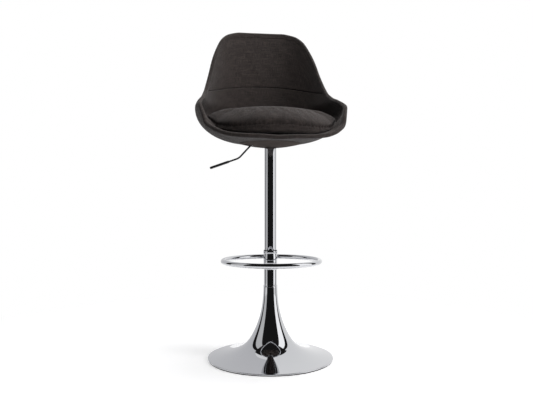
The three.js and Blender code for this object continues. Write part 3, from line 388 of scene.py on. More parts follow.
# bucket: the same skin as the solid's, read at any depth from it
seat = {"floor": 684.0, "halfWidth": 239.0, "centreY": -12.0, "front": 177.0, "back": 223.0, "plan": 2.58,
        "flat": 75.0, "bowl": 107.0, "tuck": 18.0, "tuckHeight": 45.0, "top": 1110.0, "droop": 9.0,
        "lean": 70.0, "leanShare": 0.9, "taper": 27.0, "taperShare": 1.5, "thickness": 13.2, "hole": 84.0,
        "settleRounds": 12, "normalStep": 0.01}
# the bucket's edge: shares of the half turn from the front to the back, and of the full height
edgeShares = [(0, 0.002), (0.083, 0.008), (0.167, 0.01), (0.222, 0.017), (0.278, 0.043), (0.306, 0.067),
              (0.333, 0.094), (0.367, 0.183), (0.4, 0.257), (0.43, 0.284), (0.5, 0.334), (0.556, 0.357),
              (0.589, 0.38), (0.623, 0.41), (0.655, 0.462), (0.69, 0.543), (0.71, 0.601), (0.736, 0.692),
              (0.774, 0.804), (0.82, 0.915), (0.861, 0.967), (0.917, 0.996), (1, 1)]


# smooth curve through the edge's table that never overshoots it
def edgeCurve(at):
    table = np.array(edgeShares)
    slopes = np.diff(table[:, 1]) / np.diff(table[:, 0])
    before, after = slopes[:-1], slopes[1:]
    inner = np.where(before * after <= 0, 0, 2 * before * after / (before + after))
    tangents = np.concatenate([[0], inner, [0]])
    i = np.clip(np.searchsorted(table[:, 0], at) - 1, 0, len(table) - 2)
    width = table[i + 1, 0] - table[i, 0]
    t = np.clip((at - table[i, 0]) / width, 0, 1)
    rise = (1 - t) ** 2 * (1 + 2 * t) * table[i, 1] + t * t * (3 - 2 * t) * table[i + 1, 1]
    return rise + width * t * (1 - t) * ((1 - t) * tangents[i] - t * tangents[i + 1])


def superellipse(halfWidth, front, back, centreY, share, turn):
    s, c = np.sin(turn), np.cos(turn)
    half = np.where(c > 0, front, back)
    return (halfWidth * np.sign(s) * np.abs(s) ** (2 / share),
            centreY - half * np.sign(c) * np.abs(c) ** (2 / share))


# the bucket's plan at a rise over its floor: tucked in just above the bowl, then leaning back
def bucketPlan(turn, rise):
    above = np.maximum(rise - seat["bowl"], 0)
    up = above / (seat["top"] - seat["floor"] - seat["bowl"])
    tuck = np.minimum(above / seat["tuckHeight"], 1)
    drawnIn = seat["tuck"] * tuck * tuck * (3 - 2 * tuck) + seat["taper"] * up ** seat["taperShare"]
    return superellipse(seat["halfWidth"] - drawnIn, seat["front"], seat["back"],
                        seat["centreY"] + seat["lean"] * up ** seat["leanShare"], seat["plan"], turn)


# the edge's height sets the plan, and the plan its direction, so the two settle in rounds
def edgeRise(turn):
    rise = np.zeros_like(turn)
    for _ in range(seat["settleRounds"]):
        x, y = bucketPlan(turn, rise)
        direction = np.abs(np.arctan2(x, -y)) / math.pi
        rise = (rise + edgeCurve(direction) * (seat["top"] - seat["floor"])) / 2
    return rise


# point of the skin: shares from 0 to 1 climb the bowl, from 1 to 2 the wall above it
def skinPoint(turn, share, rise=None):
    rise = edgeRise(turn) if rise is None else rise
    bowlRise = np.minimum(rise, seat["bowl"])
    lower, upper = np.minimum(share, 1), np.maximum(share, 1)
    droop = seat["droop"] * np.maximum(np.cos(turn), 0) ** 3 * lower ** 2
    wallRise = bowlRise + (rise - bowlRise) * (upper - 1)
    wallX, wallY = bucketPlan(turn, wallRise)
    edgeX, edgeY = bucketPlan(turn, bowlRise)
    radius = np.hypot(edgeX, edgeY)
    sweep = np.arccos(1 - bowlRise / seat["bowl"])
    reach = seat["flat"] + (radius - seat["flat"]) / np.sin(sweep) * np.sin(sweep * lower)
    onWall = share > 1
    x = np.where(onWall, wallX, edgeX / radius * reach)
    y = np.where(onWall, wallY, edgeY / radius * reach)
    z = seat["floor"] + np.where(onWall, wallRise, seat["bowl"] * (1 - np.cos(sweep * lower))) - droop
    return np.stack([x, y, z], axis=-1)


def skinNormal(turn, share, rise):
    top, step = np.where(rise > seat["bowl"], 2.0, 1.0), seat["normalStep"]
    middle = np.minimum(share, top)
    up = skinPoint(turn, np.minimum(middle + step, top), rise) - skinPoint(turn, middle - step, rise)
    along = skinPoint(turn + step, middle) - skinPoint(turn - step, middle)
    normal = np.cross(up, along)
    return normal / np.linalg.norm(normal, axis=-1)[..., None]


# turns of stations that stand evenly along the edge
def stationTurns(count, finer=16):
    fine = np.linspace(0, fullTurn, count * finer + 1)
    edge = skinPoint(fine, np.full_like(fine, 2.0))
    lengths = np.concatenate([[0], np.cumsum(np.linalg.norm(np.diff(edge, axis=0), axis=1))])
    return np.interp(np.linspace(0, lengths[-1], count, endpoint=False), lengths, fine)


# skin points, inward normals and lengths along each meridian, for ways that differ from station to
# station: 0 at the start radius, 1 at the edge
def bucketRowsAt(turns, ways, startRadius, bowlSteps=60):
    table = np.asarray(ways)
    flat = table.reshape(len(turns), -1)
    rise = edgeRise(turns)
    fineShares = np.linspace(0, 2, 2 * bowlSteps + 1)
    fineGrid = np.broadcast_to(fineShares, (len(turns), len(fineShares)))
    grid = skinPoint(turns[:, None], fineGrid, rise[:, None])
    steps = np.linalg.norm(np.diff(grid, axis=1), axis=2)
    lengths = np.concatenate([np.zeros((len(turns), 1)), np.cumsum(steps, axis=1)], axis=1)
    bowl = grid[:, :bowlSteps + 1]
    shares, along = np.empty(flat.shape), np.empty(flat.shape)
    for i in range(len(turns)):
        start = np.interp(startRadius, np.hypot(bowl[i, :, 0], bowl[i, :, 1]), lengths[i, :bowlSteps + 1])
        wanted = start + (lengths[i, -1] - start) * flat[i]
        keep = np.concatenate([[True], np.diff(lengths[i]) > tiny])
        shares[i] = np.interp(wanted, lengths[i][keep], fineShares[keep])
        along[i] = wanted - lengths[i, -1]
    turnGrid = np.broadcast_to(turns[:, None], shares.shape)
    riseGrid = np.broadcast_to(rise[:, None], shares.shape)
    shape = table.shape
    return (skinPoint(turnGrid, shares, riseGrid).reshape(*shape, 3),
            skinNormal(turnGrid, shares, riseGrid).reshape(*shape, 3), along.reshape(shape))


# the same for ways that all stations share
def bucketRows(turns, ways, startRadius):
    return bucketRowsAt(turns, np.broadcast_to(ways, (len(turns), len(ways))), startRadius)


# cloth coordinate round the bucket, as if it lay on a drum of one mean radius
def clothAround(points, drum=200):
    return np.arctan2(points[..., 0], -points[..., 1]) * drum


# cover over the outside of the bucket, rolled over the padded edge and folded in behind it
cover = {"stations": 288, "rows": 64, "depth": 3.7, "rollSteps": 17, "backs": (4.0, 8.0, 12.0, 14.9, 15.2),
         "depths": (13.2, 13.2, 13.2, 13.2, 12.4), "liningFrom": 0.96, "liningRows": 24, "fill": 0.7}


def bucketCover():
    turns = stationTurns(cover["stations"])
    half = seat["thickness"] / 2
    skin, normal, along = bucketRows(turns, np.linspace(0, 1, cover["rows"]), seat["hole"])
    edge, inward = skin[:, -1:], normal[:, -1:]
    ahead = np.roll(edge, -1, axis=0) - np.roll(edge, 1, axis=0)
    out = np.cross(ahead / np.linalg.norm(ahead, axis=2)[..., None], inward)
    out /= np.linalg.norm(out, axis=2)[..., None]
    angles = np.linspace(0, math.pi, cover["rollSteps"])[1:]
    rollIn, rollOut = half * (1 - np.cos(angles)), half * np.sin(angles)
    roll = edge + inward * rollIn[None, :, None] + out * rollOut[None, :, None]
    rollAlong = np.repeat((half * angles)[None], len(turns), 0)
    folds = [bucketRowsAt(turns, 1 + back / along[:, 0], seat["hole"]) for back in cover["backs"]]
    layers = zip(folds, cover["depths"])
    fold = np.stack([skinAt + normalAt * depth for (skinAt, normalAt, _), depth in layers], axis=1)
    foldAlong = np.repeat([[half * math.pi + back for back in cover["backs"]]], len(turns), 0)
    liningWays = np.linspace(cover["liningFrom"], 0, cover["liningRows"])
    lining, liningNormal, liningAlong = bucketRows(turns, liningWays, seat["hole"])
    points = np.concatenate([skin, roll, fold, lining + liningNormal * cover["depth"]], axis=1)
    inside = np.repeat(clothAround(edge), points.shape[1] - cover["rows"], 1)
    across = np.concatenate([clothAround(skin), inside], axis=1)
    down = np.concatenate([along, rollAlong, foldAlong, liningAlong], axis=1)
    cloth = np.stack([across, down, 0 * down], axis=2)
    return points.reshape(-1, 3), gridFaces(len(turns), points.shape[1], True, True), cloth.reshape(-1, 3)


points, faces, cloth = bucketCover()
makePiece("bucketCover", points, faces, fabric, "seat_carriage", ["outer_cover"],
          cloth=cloth)
print("cover made")


# inner upholstery: soft faces over the shell, sewn together by a seam that droops to the sides
pad = {"outer": 8.5, "start": 112.0, "end": 15.3, "bulge": 1.2, "soft": 40.0, "edge": 0.4, "gap": 0.35,
       "seamEdge": 2.4, "stitchFrom": 3.4, "seam": 906.8, "droop": 37.0, "reach": 205.0, "droopShare": 2.4,
       "wave": 0.5, "waveLength": 70.0, "drift": (0.7, 0.8), "rise": (0.6, 1.0), "station": 5.0,
       "narrowest": 0.004, "lowerRows": 80, "upperRows": 72, "seamWays": 201, "fill": 0.7}


def seamHeight(x):
    return pad["seam"] - pad["droop"] * (np.abs(x) / pad["reach"]) ** pad["droopShare"]


# depth of the padded face behind the skin, with the foam's slight unevenness
def padDepth(skin, reach, size):
    dip = size * (1 - np.sqrt(1 - (1 - np.minimum(reach / size, 1)) ** 2))
    swell = pad["bulge"] * (1 - np.exp(-reach / pad["soft"]))
    step = fullTurn / pad["waveLength"]
    across, up = skin[..., 0] * step, skin[..., 2] * step
    (drift, driftStep), (rise, riseStart) = pad["drift"], pad["rise"]
    wave = np.sin(across + drift * np.sin(up * driftStep)) * np.cos(up * rise + riseStart)
    return seat["thickness"] + swell - dip + pad["wave"] * wave * np.minimum(reach / pad["soft"], 1)


def padPiece(name, turns, low, high, rows, closed, node, dips):
    ways = low[:, None] + (high - low)[:, None] * (1 - np.cos(np.linspace(0, math.pi, rows)))[None] / 2
    skin, normal, along = bucketRowsAt(turns, ways, pad["start"])
    reach = np.minimum(along - along[:, :1], along[:, -1:] - along)
    if not closed:
        places = np.arange(len(turns))
        ends = np.minimum(places, places[::-1])[:, None] * pad["station"]
        reach = np.minimum(reach, ends + 0 * reach)
    size = np.where(along - along[:, :1] < along[:, -1:] - along, dips[0], np.reshape(dips[1], (-1, 1)))
    face = skin + normal * padDepth(skin, reach, size)[..., None]
    points = np.concatenate([face, (skin + normal * pad["outer"])[:, ::-1]], axis=1)
    count = points.shape[1]
    down = np.concatenate([along, along[:, ::-1]], axis=1)
    cloth = np.stack([clothAround(points), down, 0 * down], axis=2)
    faces = gridFaces(len(turns), count, closed, True)
    if not closed:
        faces += [tuple(range(count)), tuple(range(len(turns) * count - count, len(turns) * count))]
    makePiece(name, points.reshape(-1, 3), faces, fabric, "seat_carriage", [node],
              cloth=cloth.reshape(-1, 3))


# share of each meridian's length at which it crosses the back's seam, or 1 where it stays below
def seamWays(turns):
    ways = np.linspace(0, 1, pad["seamWays"])
    skin, _, _ = bucketRows(turns, ways, pad["start"])
    above = skin[..., 2] - seamHeight(skin[..., 0])
    return np.array([np.interp(0, line, ways) if line[-1] > 0 else 1.0 for line in above])


# makes both pads and returns where the back's stitches run
def innerPads():
    turns = stationTurns(cover["stations"])
    _, _, along = bucketRows(turns, np.array([0.0, 1.0]), pad["start"])
    length = -along[:, 0]
    end, sewnAt, half = 1 - pad["end"] / length, seamWays(turns), pad["gap"] / length
    rim, sewn = pad["edge"], pad["seamEdge"]
    padPiece("wingUpholstery", turns, 0 * end, np.minimum(end, sewnAt - half), pad["lowerRows"], True,
             "inner_pad_lower", (rim, np.where(sewnAt - half < end, sewn, rim)))
    upper = sewnAt + half < end - pad["narrowest"]
    padPiece("backUpholstery", turns[upper], (sewnAt + half)[upper], end[upper], pad["upperRows"], False,
             "back_pad_upper", (sewn, rim))
    return turns[upper], (sewnAt + pad["stitchFrom"] / length)[upper]


seamTurns, seamPlaces = innerPads()
print("inner upholstery made")


# sewing thread: twisted polyester, slightly lighter than the weave, laid as short raised stitches;
# the arch is each stitch's height over the cloth, in thread radii
stitch = {"pitch": 6.0, "length": 4.4, "radius": 0.42, "arch": (-0.5, 0.5, 0.8, 0.5, -0.5), "sunk": 0.3,
          "sides": 6}


def sewnLine(name, path, outward):
    path = np.asarray(path, float)
    lengths = np.concatenate([[0], np.cumsum(np.linalg.norm(np.diff(path, axis=0), axis=1))])
    arch = np.array(stitch["arch"]) * stitch["radius"]
    points, faces = [], []
    for start in np.arange(stitch["pitch"] / 2, lengths[-1] - stitch["pitch"], stitch["pitch"]):
        places = np.linspace(start, start + stitch["length"], len(arch))
        line = np.stack([np.interp(places, lengths, path[:, k]) for k in range(3)], axis=1)
        lift = np.stack([np.interp(places, lengths, outward[:, k]) for k in range(3)], axis=1)
        lift /= np.linalg.norm(lift, axis=1)[:, None]
        tube, tubeFaces = tubeAlong(line + lift * arch[:, None], stitch["radius"], stitch["sides"])
        faces += [tuple(len(points) * len(tube) + i for i in face) for face in tubeFaces]
        points.append(tube)
    makePiece(name, np.concatenate(points), faces, thread, "seat_carriage")


order = np.argsort(np.mod(seamTurns, fullTurn))
skin, normal, _ = bucketRowsAt(seamTurns[order], seamPlaces[order][:, None], pad["start"])
lie = padDepth(skin[:, 0], np.full(len(skin), pad["stitchFrom"]), pad["seamEdge"])
lie = lie + stitch["radius"] * stitch["sunk"]
sewnLine("backStitches", skin[:, 0] + normal[:, 0] * lie[:, None], normal[:, 0])
print("back seam sewn")


# cushion: crowned top and lower side, sewn together round the middle of the edge and filled by a
# cloth simulation; inset and lower say how much smaller it starts
cushion = {"halfWidth": 208.9, "halfDepth": 178.0, "centreY": 6.0, "plan": 2.4, "crown": 797.0,
           "front": 38.0, "side": 7.0, "frontPower": 3, "bulge": 5.0, "floor": 698.5, "lift": 1.4,
           "domeShare": 4.0, "domePower": 0.72, "inset": -2.0, "lower": 12.5, "seamAt": 0.68, "fill": 0.8}
cushionGrid = {"sides": 192, "floorRows": 30, "innermost": 0.02, "wallRows": 11, "domeRows": 34,
               "domeSpread": 1.6, "seamSides": 180, "band": (0.88, 0.06)}
filling = {"voxel": 4.5 * mm, "pressure": 4.0, "frames": 20, "cap": 6.0 * mm, "shrink": 0.03,
           "seamBand": 9.0, "pinBand": 6.0, "least": 0.01}
# the seam is drawn in after the filling, as a groove with small gathers
seam = {"deep": 2.4, "wide": 2.6, "gather": 0.35, "pitch": 13.0, "drift": 1.5, "driftLength": 23}
# table of the padded bucket's height: turns, rows of the skin and those of them that climb, the row
# that gives a turn its direction, and reaches from near to far
bucketTable = {"turns": 181, "rows": 90, "climb": 60, "heading": 30, "start": 45.0, "near": 46.0,
               "far": 240.0, "step": 2.0}


def cushionEdge(turn, inset):
    x, y = superellipse(cushion["halfWidth"] - inset, cushion["halfDepth"] - inset,
                        cushion["halfDepth"] - inset, cushion["centreY"], cushion["plan"], turn)
    return np.stack([x, y], axis=-1)


# direction of points as seen from the cushion's own centre
def cushionHeading(points):
    return np.arctan2(points[:, 0], -(points[:, 1] - cushion["centreY"]))


# height of the padded bucket under each point, read along its own direction from the column
def bucketHeightUnder(points):
    turns = np.linspace(0, fullTurn, bucketTable["turns"])
    skin, normal, _ = bucketRows(turns, np.linspace(0, 1, bucketTable["rows"]), bucketTable["start"])
    face = skin + normal * (seat["thickness"] + pad["bulge"])
    middle, climb = face[:, bucketTable["heading"]], face[:, :bucketTable["climb"]]
    directions = np.unwrap(np.arctan2(middle[:, 0], -middle[:, 1]))
    near, far, step = bucketTable["near"], bucketTable["far"], bucketTable["step"]
    reach = np.linspace(near, far, round((far - near) / step) + 1)
    table = np.array([np.interp(reach, np.hypot(row[:, 0], row[:, 1]), row[:, 2]) for row in climb])
    direction = np.mod(np.arctan2(points[:, 0], -points[:, 1]) - directions[0], fullTurn) + directions[0]
    place = np.interp(direction, directions, np.arange(len(turns)))
    i = np.clip(place.astype(int), 0, len(turns) - 2)
    r = np.clip((np.hypot(points[:, 0], points[:, 1]) - near) / step, 0, len(reach) - 1.001)
    k = r.astype(int)
    part, more = place - i, r - k
    top = table[i, k] * (1 - more) + table[i, k + 1] * more
    return top * (1 - part) + (table[i + 1, k] * (1 - more) + table[i + 1, k + 1] * more) * part


def restHeight(flat):
    return np.maximum(bucketHeightUnder(flat) + cushion["lift"], cushion["floor"])


# the cushion's edge: place, reach and heading from the column, height of its side, and its foot
def cushionSeam(sides, inset):
    edge = cushionEdge(np.linspace(0, fullTurn, sides, endpoint=False), inset)
    reach = np.linalg.norm(edge, axis=1)
    heading = edge / reach[:, None]
    toFront = ((1 - heading[:, 1]) / 2) ** cushion["frontPower"]
    wall = cushion["side"] + (cushion["front"] - cushion["side"]) * toFront
    bottom = restHeight((reach - cushion["bulge"])[:, None] * heading)
    return edge, reach, heading, wall, bottom


def cushionStart():
    sides = cushionGrid["sides"]
    edge, reach, heading, wall, bottom = cushionSeam(sides, cushion["inset"])
    foot = reach - cushion["bulge"]
    rows = []
    for share in np.linspace(cushionGrid["innermost"], 1, cushionGrid["floorRows"]):
        flat = foot[:, None] * heading * share
        rows.append(np.column_stack([flat, restHeight(flat)]))
    for t in np.linspace(0, 1, cushionGrid["wallRows"])[1:]:
        out = cushion["bulge"] * math.sin(math.pi * min(t, 0.5))
        rows.append(np.column_stack([heading * (foot + out)[:, None], bottom + wall * t]))
    rise = cushion["crown"] - cushion["lower"] - bottom - wall
    for share in 1 - np.linspace(0, 1, cushionGrid["domeRows"])[1:-1] ** cushionGrid["domeSpread"]:
        dome = (1 - share ** cushion["domeShare"]) ** cushion["domePower"]
        rows.append(np.column_stack([edge * share, bottom + wall + rise * dome]))
    grid = np.stack(rows, axis=1)
    count = grid.shape[1]
    faces = gridFaces(sides, count, True, False)
    faces += [tuple(i * count for i in range(sides)), tuple(i * count + count - 1 for i in range(sides))]
    return grid.reshape(-1, 3), faces


# points and faces of a holder as its modifiers leave it
def evaluated(holder):
    mesh = bpy.data.meshes.new_from_object(holder.evaluated_get(bpy.context.evaluated_depsgraph_get()))
    points = np.empty(len(mesh.vertices) * 3)
    mesh.vertices.foreach_get("co", points)
    faces = [tuple(face.vertices) for face in mesh.polygons]
    bpy.data.meshes.remove(mesh)
    return points.reshape(-1, 3), faces


def discard(holder):
    mesh = holder.data
    bpy.data.objects.remove(holder)
    bpy.data.meshes.remove(mesh)


# the seam's height in each point's direction
def seamLevel(points):
    edge, _, _, wall, bottom = cushionSeam(cushionGrid["seamSides"], 0.0)
    directions = np.unwrap(cushionHeading(edge))
    directions = np.concatenate([directions, [directions[0] + fullTurn]])
    level = bottom + wall * cushion["seamAt"]
    level = np.concatenate([level, [level[0]]])
    direction = np.mod(cushionHeading(points) - directions[0], fullTurn) + directions[0]
    return np.interp(direction, directions, level)


# 1 near the cushion's edge, 0 well inside it
def outerBand(points):
    power, (start, width) = cushion["plan"], cushionGrid["band"]
    share = (np.abs(points[:, 0] / cushion["halfWidth"]) ** power
             + np.abs((points[:, 1] - cushion["centreY"]) / cushion["halfDepth"]) ** power) ** (1 / power)
    return np.clip((share - start) / width, 0, 1)


def swollen(points, faces):
    start = meshObject("cushionStart", points * mm, faces)
    remesh = start.modifiers.new("voxels", "REMESH")
    remesh.mode, remesh.voxel_size = "VOXEL", filling["voxel"]
    points, faces = evaluated(start)
    discard(start)
    slack = meshObject("cushionSlack", points, faces)
    scaled = points / mm
    pinned = np.clip(1 - (scaled[:, 2] - restHeight(scaled[:, :2])) / filling["pinBand"], 0, 1)
    sewn = np.exp(-((scaled[:, 2] - seamLevel(scaled)) / filling["seamBand"]) ** 2) * outerBand(scaled)
    for name, weights in (("pinned", pinned), ("sewn", sewn)):
        group = slack.vertex_groups.new(name=name)
        for k, weight in enumerate(weights):
            if weight > filling["least"]:
                group.add([k], float(weight), "REPLACE")
    settings = slack.modifiers.new("Cloth", "CLOTH").settings
    settings.use_pressure = True
    settings.uniform_pressure_force = filling["pressure"]
    settings.effector_weights.gravity = 0
    settings.vertex_group_mass = "pinned"
    settings.vertex_group_shrink = "sewn"
    settings.shrink_max = filling["shrink"]
    for frameNumber in range(1, filling["frames"] + 1):
        bpy.context.scene.frame_set(frameNumber)
    full, faces = evaluated(slack)
    bpy.context.scene.frame_set(1)
    discard(slack)
    moved = full - points
    far = np.linalg.norm(moved, axis=1)
    return points + moved * np.minimum(1, filling["cap"] / np.maximum(far, tiny))[:, None], faces


def smoothed(points, faces):
    holder = meshObject("cushionFine", points, faces)
    holder.modifiers.new("fine", "SUBSURF").levels = 1
    points, faces = evaluated(holder)
    discard(holder)
    return points, faces


def pointNormals(points, faces):
    mesh = bpy.data.meshes.new("normals")
    mesh.from_pydata([tuple(p) for p in points], [], faces)
    normals = np.empty(len(points) * 3)
    mesh.vertices.foreach_get("normal", normals)
    bpy.data.meshes.remove(mesh)
    return normals.reshape(-1, 3)


# cloth coordinate round the cushion's side, as if it lay on a drum of one mean radius
def sideAround(points, drum=190):
    return cushionHeading(points) * drum


def seatCushion():
    points, faces = smoothed(*swollen(*cushionStart()))
    points = points / mm
    off, band, place = points[:, 2] - seamLevel(points), outerBand(points), sideAround(points)
    wander = seam["drift"] * np.sin(place / seam["driftLength"])
    gather = 1 + seam["gather"] * np.sin(place * fullTurn / seam["pitch"] + wander)
    groove = seam["deep"] * np.exp(-(off / seam["wide"]) ** 2) * band * gather
    return points - pointNormals(points, faces) * groove[:, None], faces, off, band


# cloth coordinates that change at the seam: seen from above on the top, unrolled on the side
def cushionCloth(mesh, off, band):
    places = np.empty(len(mesh.vertices) * 3)
    mesh.vertices.foreach_get("co", places)
    corners = np.empty(len(mesh.loops), int)
    mesh.loops.foreach_get("vertex_index", corners)
    counts = np.empty(len(mesh.polygons), int)
    mesh.polygons.foreach_get("loop_total", counts)
    face = np.repeat(np.arange(len(counts)), counts)
    faceOff = np.bincount(face, off[corners]) / counts
    faceBand = np.bincount(face, band[corners]) / counts
    side = ((faceOff < 0) & (faceBand > 0.5))[face]
    spot = (places.reshape(-1, 3) / mm)[corners]
    across = sideAround(spot)
    value = np.where(side[:, None], np.column_stack([across, spot[:, 2], 0 * across]), spot * [1, 1, 0])
    layer = mesh.attributes.new("cloth", "FLOAT_VECTOR", "CORNER")
    layer.data.foreach_set("vector", (value * mm).ravel())


points, faces, off, band = seatCushion()
seatPad = makePiece("seatPad", points, faces, fabric, "seat_carriage", ["seat_cushion"])
cushionCloth(seatPad.data, off, band)
print("cushion made:", len(points), "points, top", round(points[:, 2].max(), 1))


# release lever: bent rod, and its sleeve by ways in from the rod's tip and radii
lever = {"rod": 2.75, "rodSides": 20, "bend": 9.0, "bendSteps": 9,
         "corners": [(8, 684.65), (-36, 684.65), (-62, 678.5), (-101, 636), (-190, 604.5)],
         "sleeve": [(-2.3, 1.6), (-2.2, 2.4), (-1.6, 3.1), (-0.4, 3.7), (1.5, 4.0), (30, 4.05), (57, 4.0),
                    (60, 3.8), (61.6, 3.4), (62, 3.05)], "sleeveSides": 28}
leverCorners = [np.array([x, 0.0, z]) for x, z in lever["corners"]]


def leverPath(corners):
    line = [corners[0]]
    for before, corner, after in zip(corners, corners[1:], corners[2:]):
        enter = corner + (before - corner) / np.linalg.norm(before - corner) * lever["bend"]
        leave = corner + (after - corner) / np.linalg.norm(after - corner) * lever["bend"]
        line += [(1 - t) ** 2 * enter + 2 * t * (1 - t) * corner + t * t * leave
                 for t in np.linspace(0, 1, lever["bendSteps"])]
    line.append(corners[-1])
    return line


points, faces = tubeAlong(leverPath(leverCorners), lever["rod"], lever["rodSides"])
makePiece("leverRod", points, faces, rigid["powderSteel"], "lever", ["release_lever"])
tip, inward = leverCorners[-1], leverCorners[-2] - leverCorners[-1]
path = [tip + inward / np.linalg.norm(inward) * way for way, _ in lever["sleeve"]]
points, faces = tubeAlong(path, [radius for _, radius in lever["sleeve"]], lever["sleeveSides"])
makePiece("leverSleeve", points, faces, rigid["gripPlastic"], "lever", ["lever_grip"])
print("lever made")


# finishes of the CAD pieces that stay
kept = {
    "powderSteel": ["base_plate", "pressure_tube", "mechanism_body"],
    "castIron": ["ballast_disc"],
    "mouldedRubber": ["floor_ring", "rod_buffer"],
    "mouldedNylon": ["rod_end_cap", "piston", "rod_guide", "mast_foot_ring", "bucket_shell"],
    "zincSteel": ["thrust_race_lower", "thrust_bearing", "thrust_race_upper", "piston_rod", "rod_clip",
                  "piston_nut", "lever_pivot_pin", "release_button",
                  *[f"{kind}_{k}" for kind in ("mount_bolt", "tee_nut") for k in (1, 2, 3, 4)]],
    "flockedShell": ["underside_dish"],
    "birchPly": ["seat_board"],
}
for finish, nodes in kept.items():
    for node in nodes:
        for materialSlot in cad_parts[node].material_slots:
            materialSlot.material = rigid[finish]
print("finishes given")


# stage: a white floor that keeps the stool's shadow, white surroundings, soft lamps, and cards that
# only the chrome mirrors
studio = {"floor": "#e9e9ea", "floorHalf": 9, "glow": 0.46, "plainFrom": 0.35, "plainTo": 1.3,
          "ambient": 0.12, "cardDistance": 1.5, "cardStep": 6.0, "ceiling": (1.55, 1.6, 0.85, 2.5),
          "dark": "#1e1e1e"}
# name: first and last azimuth from the camera's, low and high edge in metres, colour, strength
mirrorCards = {
    "darkRoomFront": (-57, 58, 0.0, 2.5, studio["dark"], 1.0),
    "paleWallLeft": (-94, -57, 0.12, 2.3, "#dadada", 1.0),
    "softBoxRight": (58, 93, 0.12, 2.3, "#ffffff", 1.45),
    "darkGapLeft": (-112, -94, 0.0, 2.5, studio["dark"], 1.0),
    "darkGapRight": (93, 108, 0.0, 2.5, studio["dark"], 1.0),
    "greyWallBehindLeft": (-180, -112, 0.0, 2.6, "#dcdcde", 1.0),
}
# name: place, aim, size in metres, power in watts
lamps = {
    "keyLamp": ((2.2, -1.2, 1.1), (0, 0, 0.75), (1.0, 1.4), 46),
    "topLamp": ((0.3, 0.15, 3.0), (0, 0, 0.6), (1.8, 1.8), 62),
    "backLamp": ((-1.6, 2.3, 1.9), (0, 0, 0.8), (1.4, 1.4), 16),
}


def glowingMaterial(name, colour, strength):
    material = bpy.data.materials.new(name)
    material.use_nodes = True
    tree = material.node_tree
    tree.nodes.clear()
    glow = addNode(tree, "Emission", Color=linear(colour), Strength=strength)
    addNode(tree, "OutputMaterial", Surface=glow)
    return material


def makeSurface(name, points, faces, material):
    mesh = bpy.data.meshes.new(name)
    mesh.from_pydata(points, [], faces)
    mesh.materials.append(material)
    surface = bpy.data.objects.new(name, mesh)
    bpy.context.scene.collection.objects.link(surface)
    return surface


def mirrorSurface(name, points, faces, colour, strength):
    card = makeSurface(name, points, faces, glowingMaterial(name, colour, strength))
    card.visible_camera = card.visible_diffuse = card.visible_shadow = card.visible_transmission = False


# 1 for rays that end in the picture: seen straight, in the chrome, or through something clear
def seenRay(tree):
    ray = addNode(tree, "LightPath").outputs
    straight = addNode(tree, "Math", ray["Is Camera Ray"], ray["Is Glossy Ray"], operation="MAXIMUM")
    return addNode(tree, "Math", straight, ray["Is Transmission Ray"], operation="MAXIMUM")


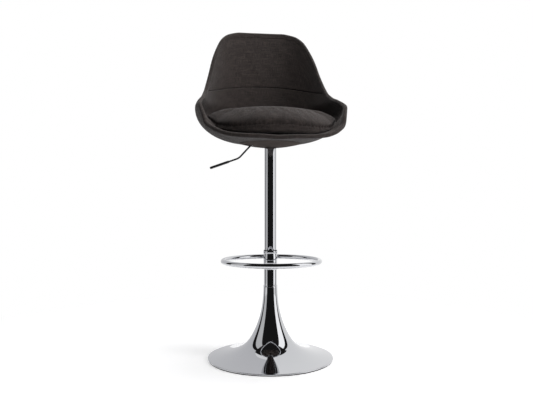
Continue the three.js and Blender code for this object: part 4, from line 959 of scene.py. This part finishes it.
# white paint that keeps its shadow near the stool and fades into plain white further out
def whiteFloor():
    material, tree, shader = newMaterial("paintedFloor", Base_Color=linear(studio["floor"]), Roughness=1.0,
                                         Specular_IOR_Level=0.0)
    place = addNode(tree, "TexCoord").outputs["Object"]
    away = addNode(tree, "VectorMath", place, operation="LENGTH").outputs["Value"]
    plain = addNode(tree, "MapRange", Value=away, From_Min=studio["plainFrom"], From_Max=studio["plainTo"],
                    interpolation_type="SMOOTHSTEP")
    seen = seenRay(tree)
    lit = addNode(tree, "Math", seen, studio["glow"], operation="MULTIPLY")
    shaded = addNode(tree, "AddShader", shader, addNode(tree, "Emission", Strength=lit))
    fade = addNode(tree, "Math", seen, plain, operation="MULTIPLY")
    mixed = addNode(tree, "MixShader", fade, shaded, addNode(tree, "Emission"))
    connect(tree.nodes["Material Output"], Surface=mixed)
    half = studio["floorHalf"]
    corners = [(-half, -half, 0), (half, -half, 0), (half, half, 0), (-half, half, 0)]
    makeSurface("paintedFloor", corners, [(0, 1, 2, 3)], material)


def mirrorCard(name, start, end, low, high, colour, strength):
    steps = max(int((end - start) / studio["cardStep"]), 2)
    turns = [math.radians(photo["azimuth"] + start + (end - start) * k / steps) for k in range(steps + 1)]
    far = studio["cardDistance"]
    points = [(math.sin(t) * far, -math.cos(t) * far, z) for t in turns for z in (low, high)]
    faces = [(2 * k, 2 * k + 2, 2 * k + 3, 2 * k + 1) for k in range(steps)]
    mirrorSurface(name, points, faces, colour, strength)


# dark ceiling between the walls: half width, reach to the front and to the back, and height
def darkCeiling():
    half, front, back, height = studio["ceiling"]
    turn = math.radians(photo["azimuth"])
    side, ahead = Vector((math.cos(turn), math.sin(turn), 0)), Vector((math.sin(turn), -math.cos(turn), 0))
    corners = ((-half, -back), (half, -back), (half, front), (-half, front))
    points = [side * x + ahead * y + Vector((0, 0, height)) for x, y in corners]
    mirrorSurface("darkCeiling", points, [(0, 1, 2, 3)], studio["dark"], 1.0)


def softLamp(name, place, target, size, power):
    lamp = bpy.data.lights.new(name, "AREA")
    lamp.shape, lamp.size, lamp.size_y, lamp.energy = "RECTANGLE", size[0], size[1], power
    holder = bpy.data.objects.new(name, lamp)
    bpy.context.scene.collection.objects.link(holder)
    holder.location = place
    holder.rotation_euler = (Vector(target) - Vector(place)).to_track_quat("-Z", "Y").to_euler()
    holder.visible_glossy = False


# white all round for rays that end in the picture, and a weak light for all others
def whiteWorld():
    world = bpy.data.worlds.new("studio")
    bpy.context.scene.world = world
    world.use_nodes = True
    tree = world.node_tree
    strength = addNode(tree, "MapRange", Value=seenRay(tree), To_Min=studio["ambient"], To_Max=1.0)
    connect(tree.nodes["Background"], Color=(1, 1, 1, 1), Strength=strength)


whiteFloor()
darkCeiling()
for name, card in mirrorCards.items():
    mirrorCard(name, *card)
for name, lamp in lamps.items():
    softLamp(name, *lamp)
whiteWorld()
bpy.context.scene.view_settings.view_transform = "Standard"
print("stage set")
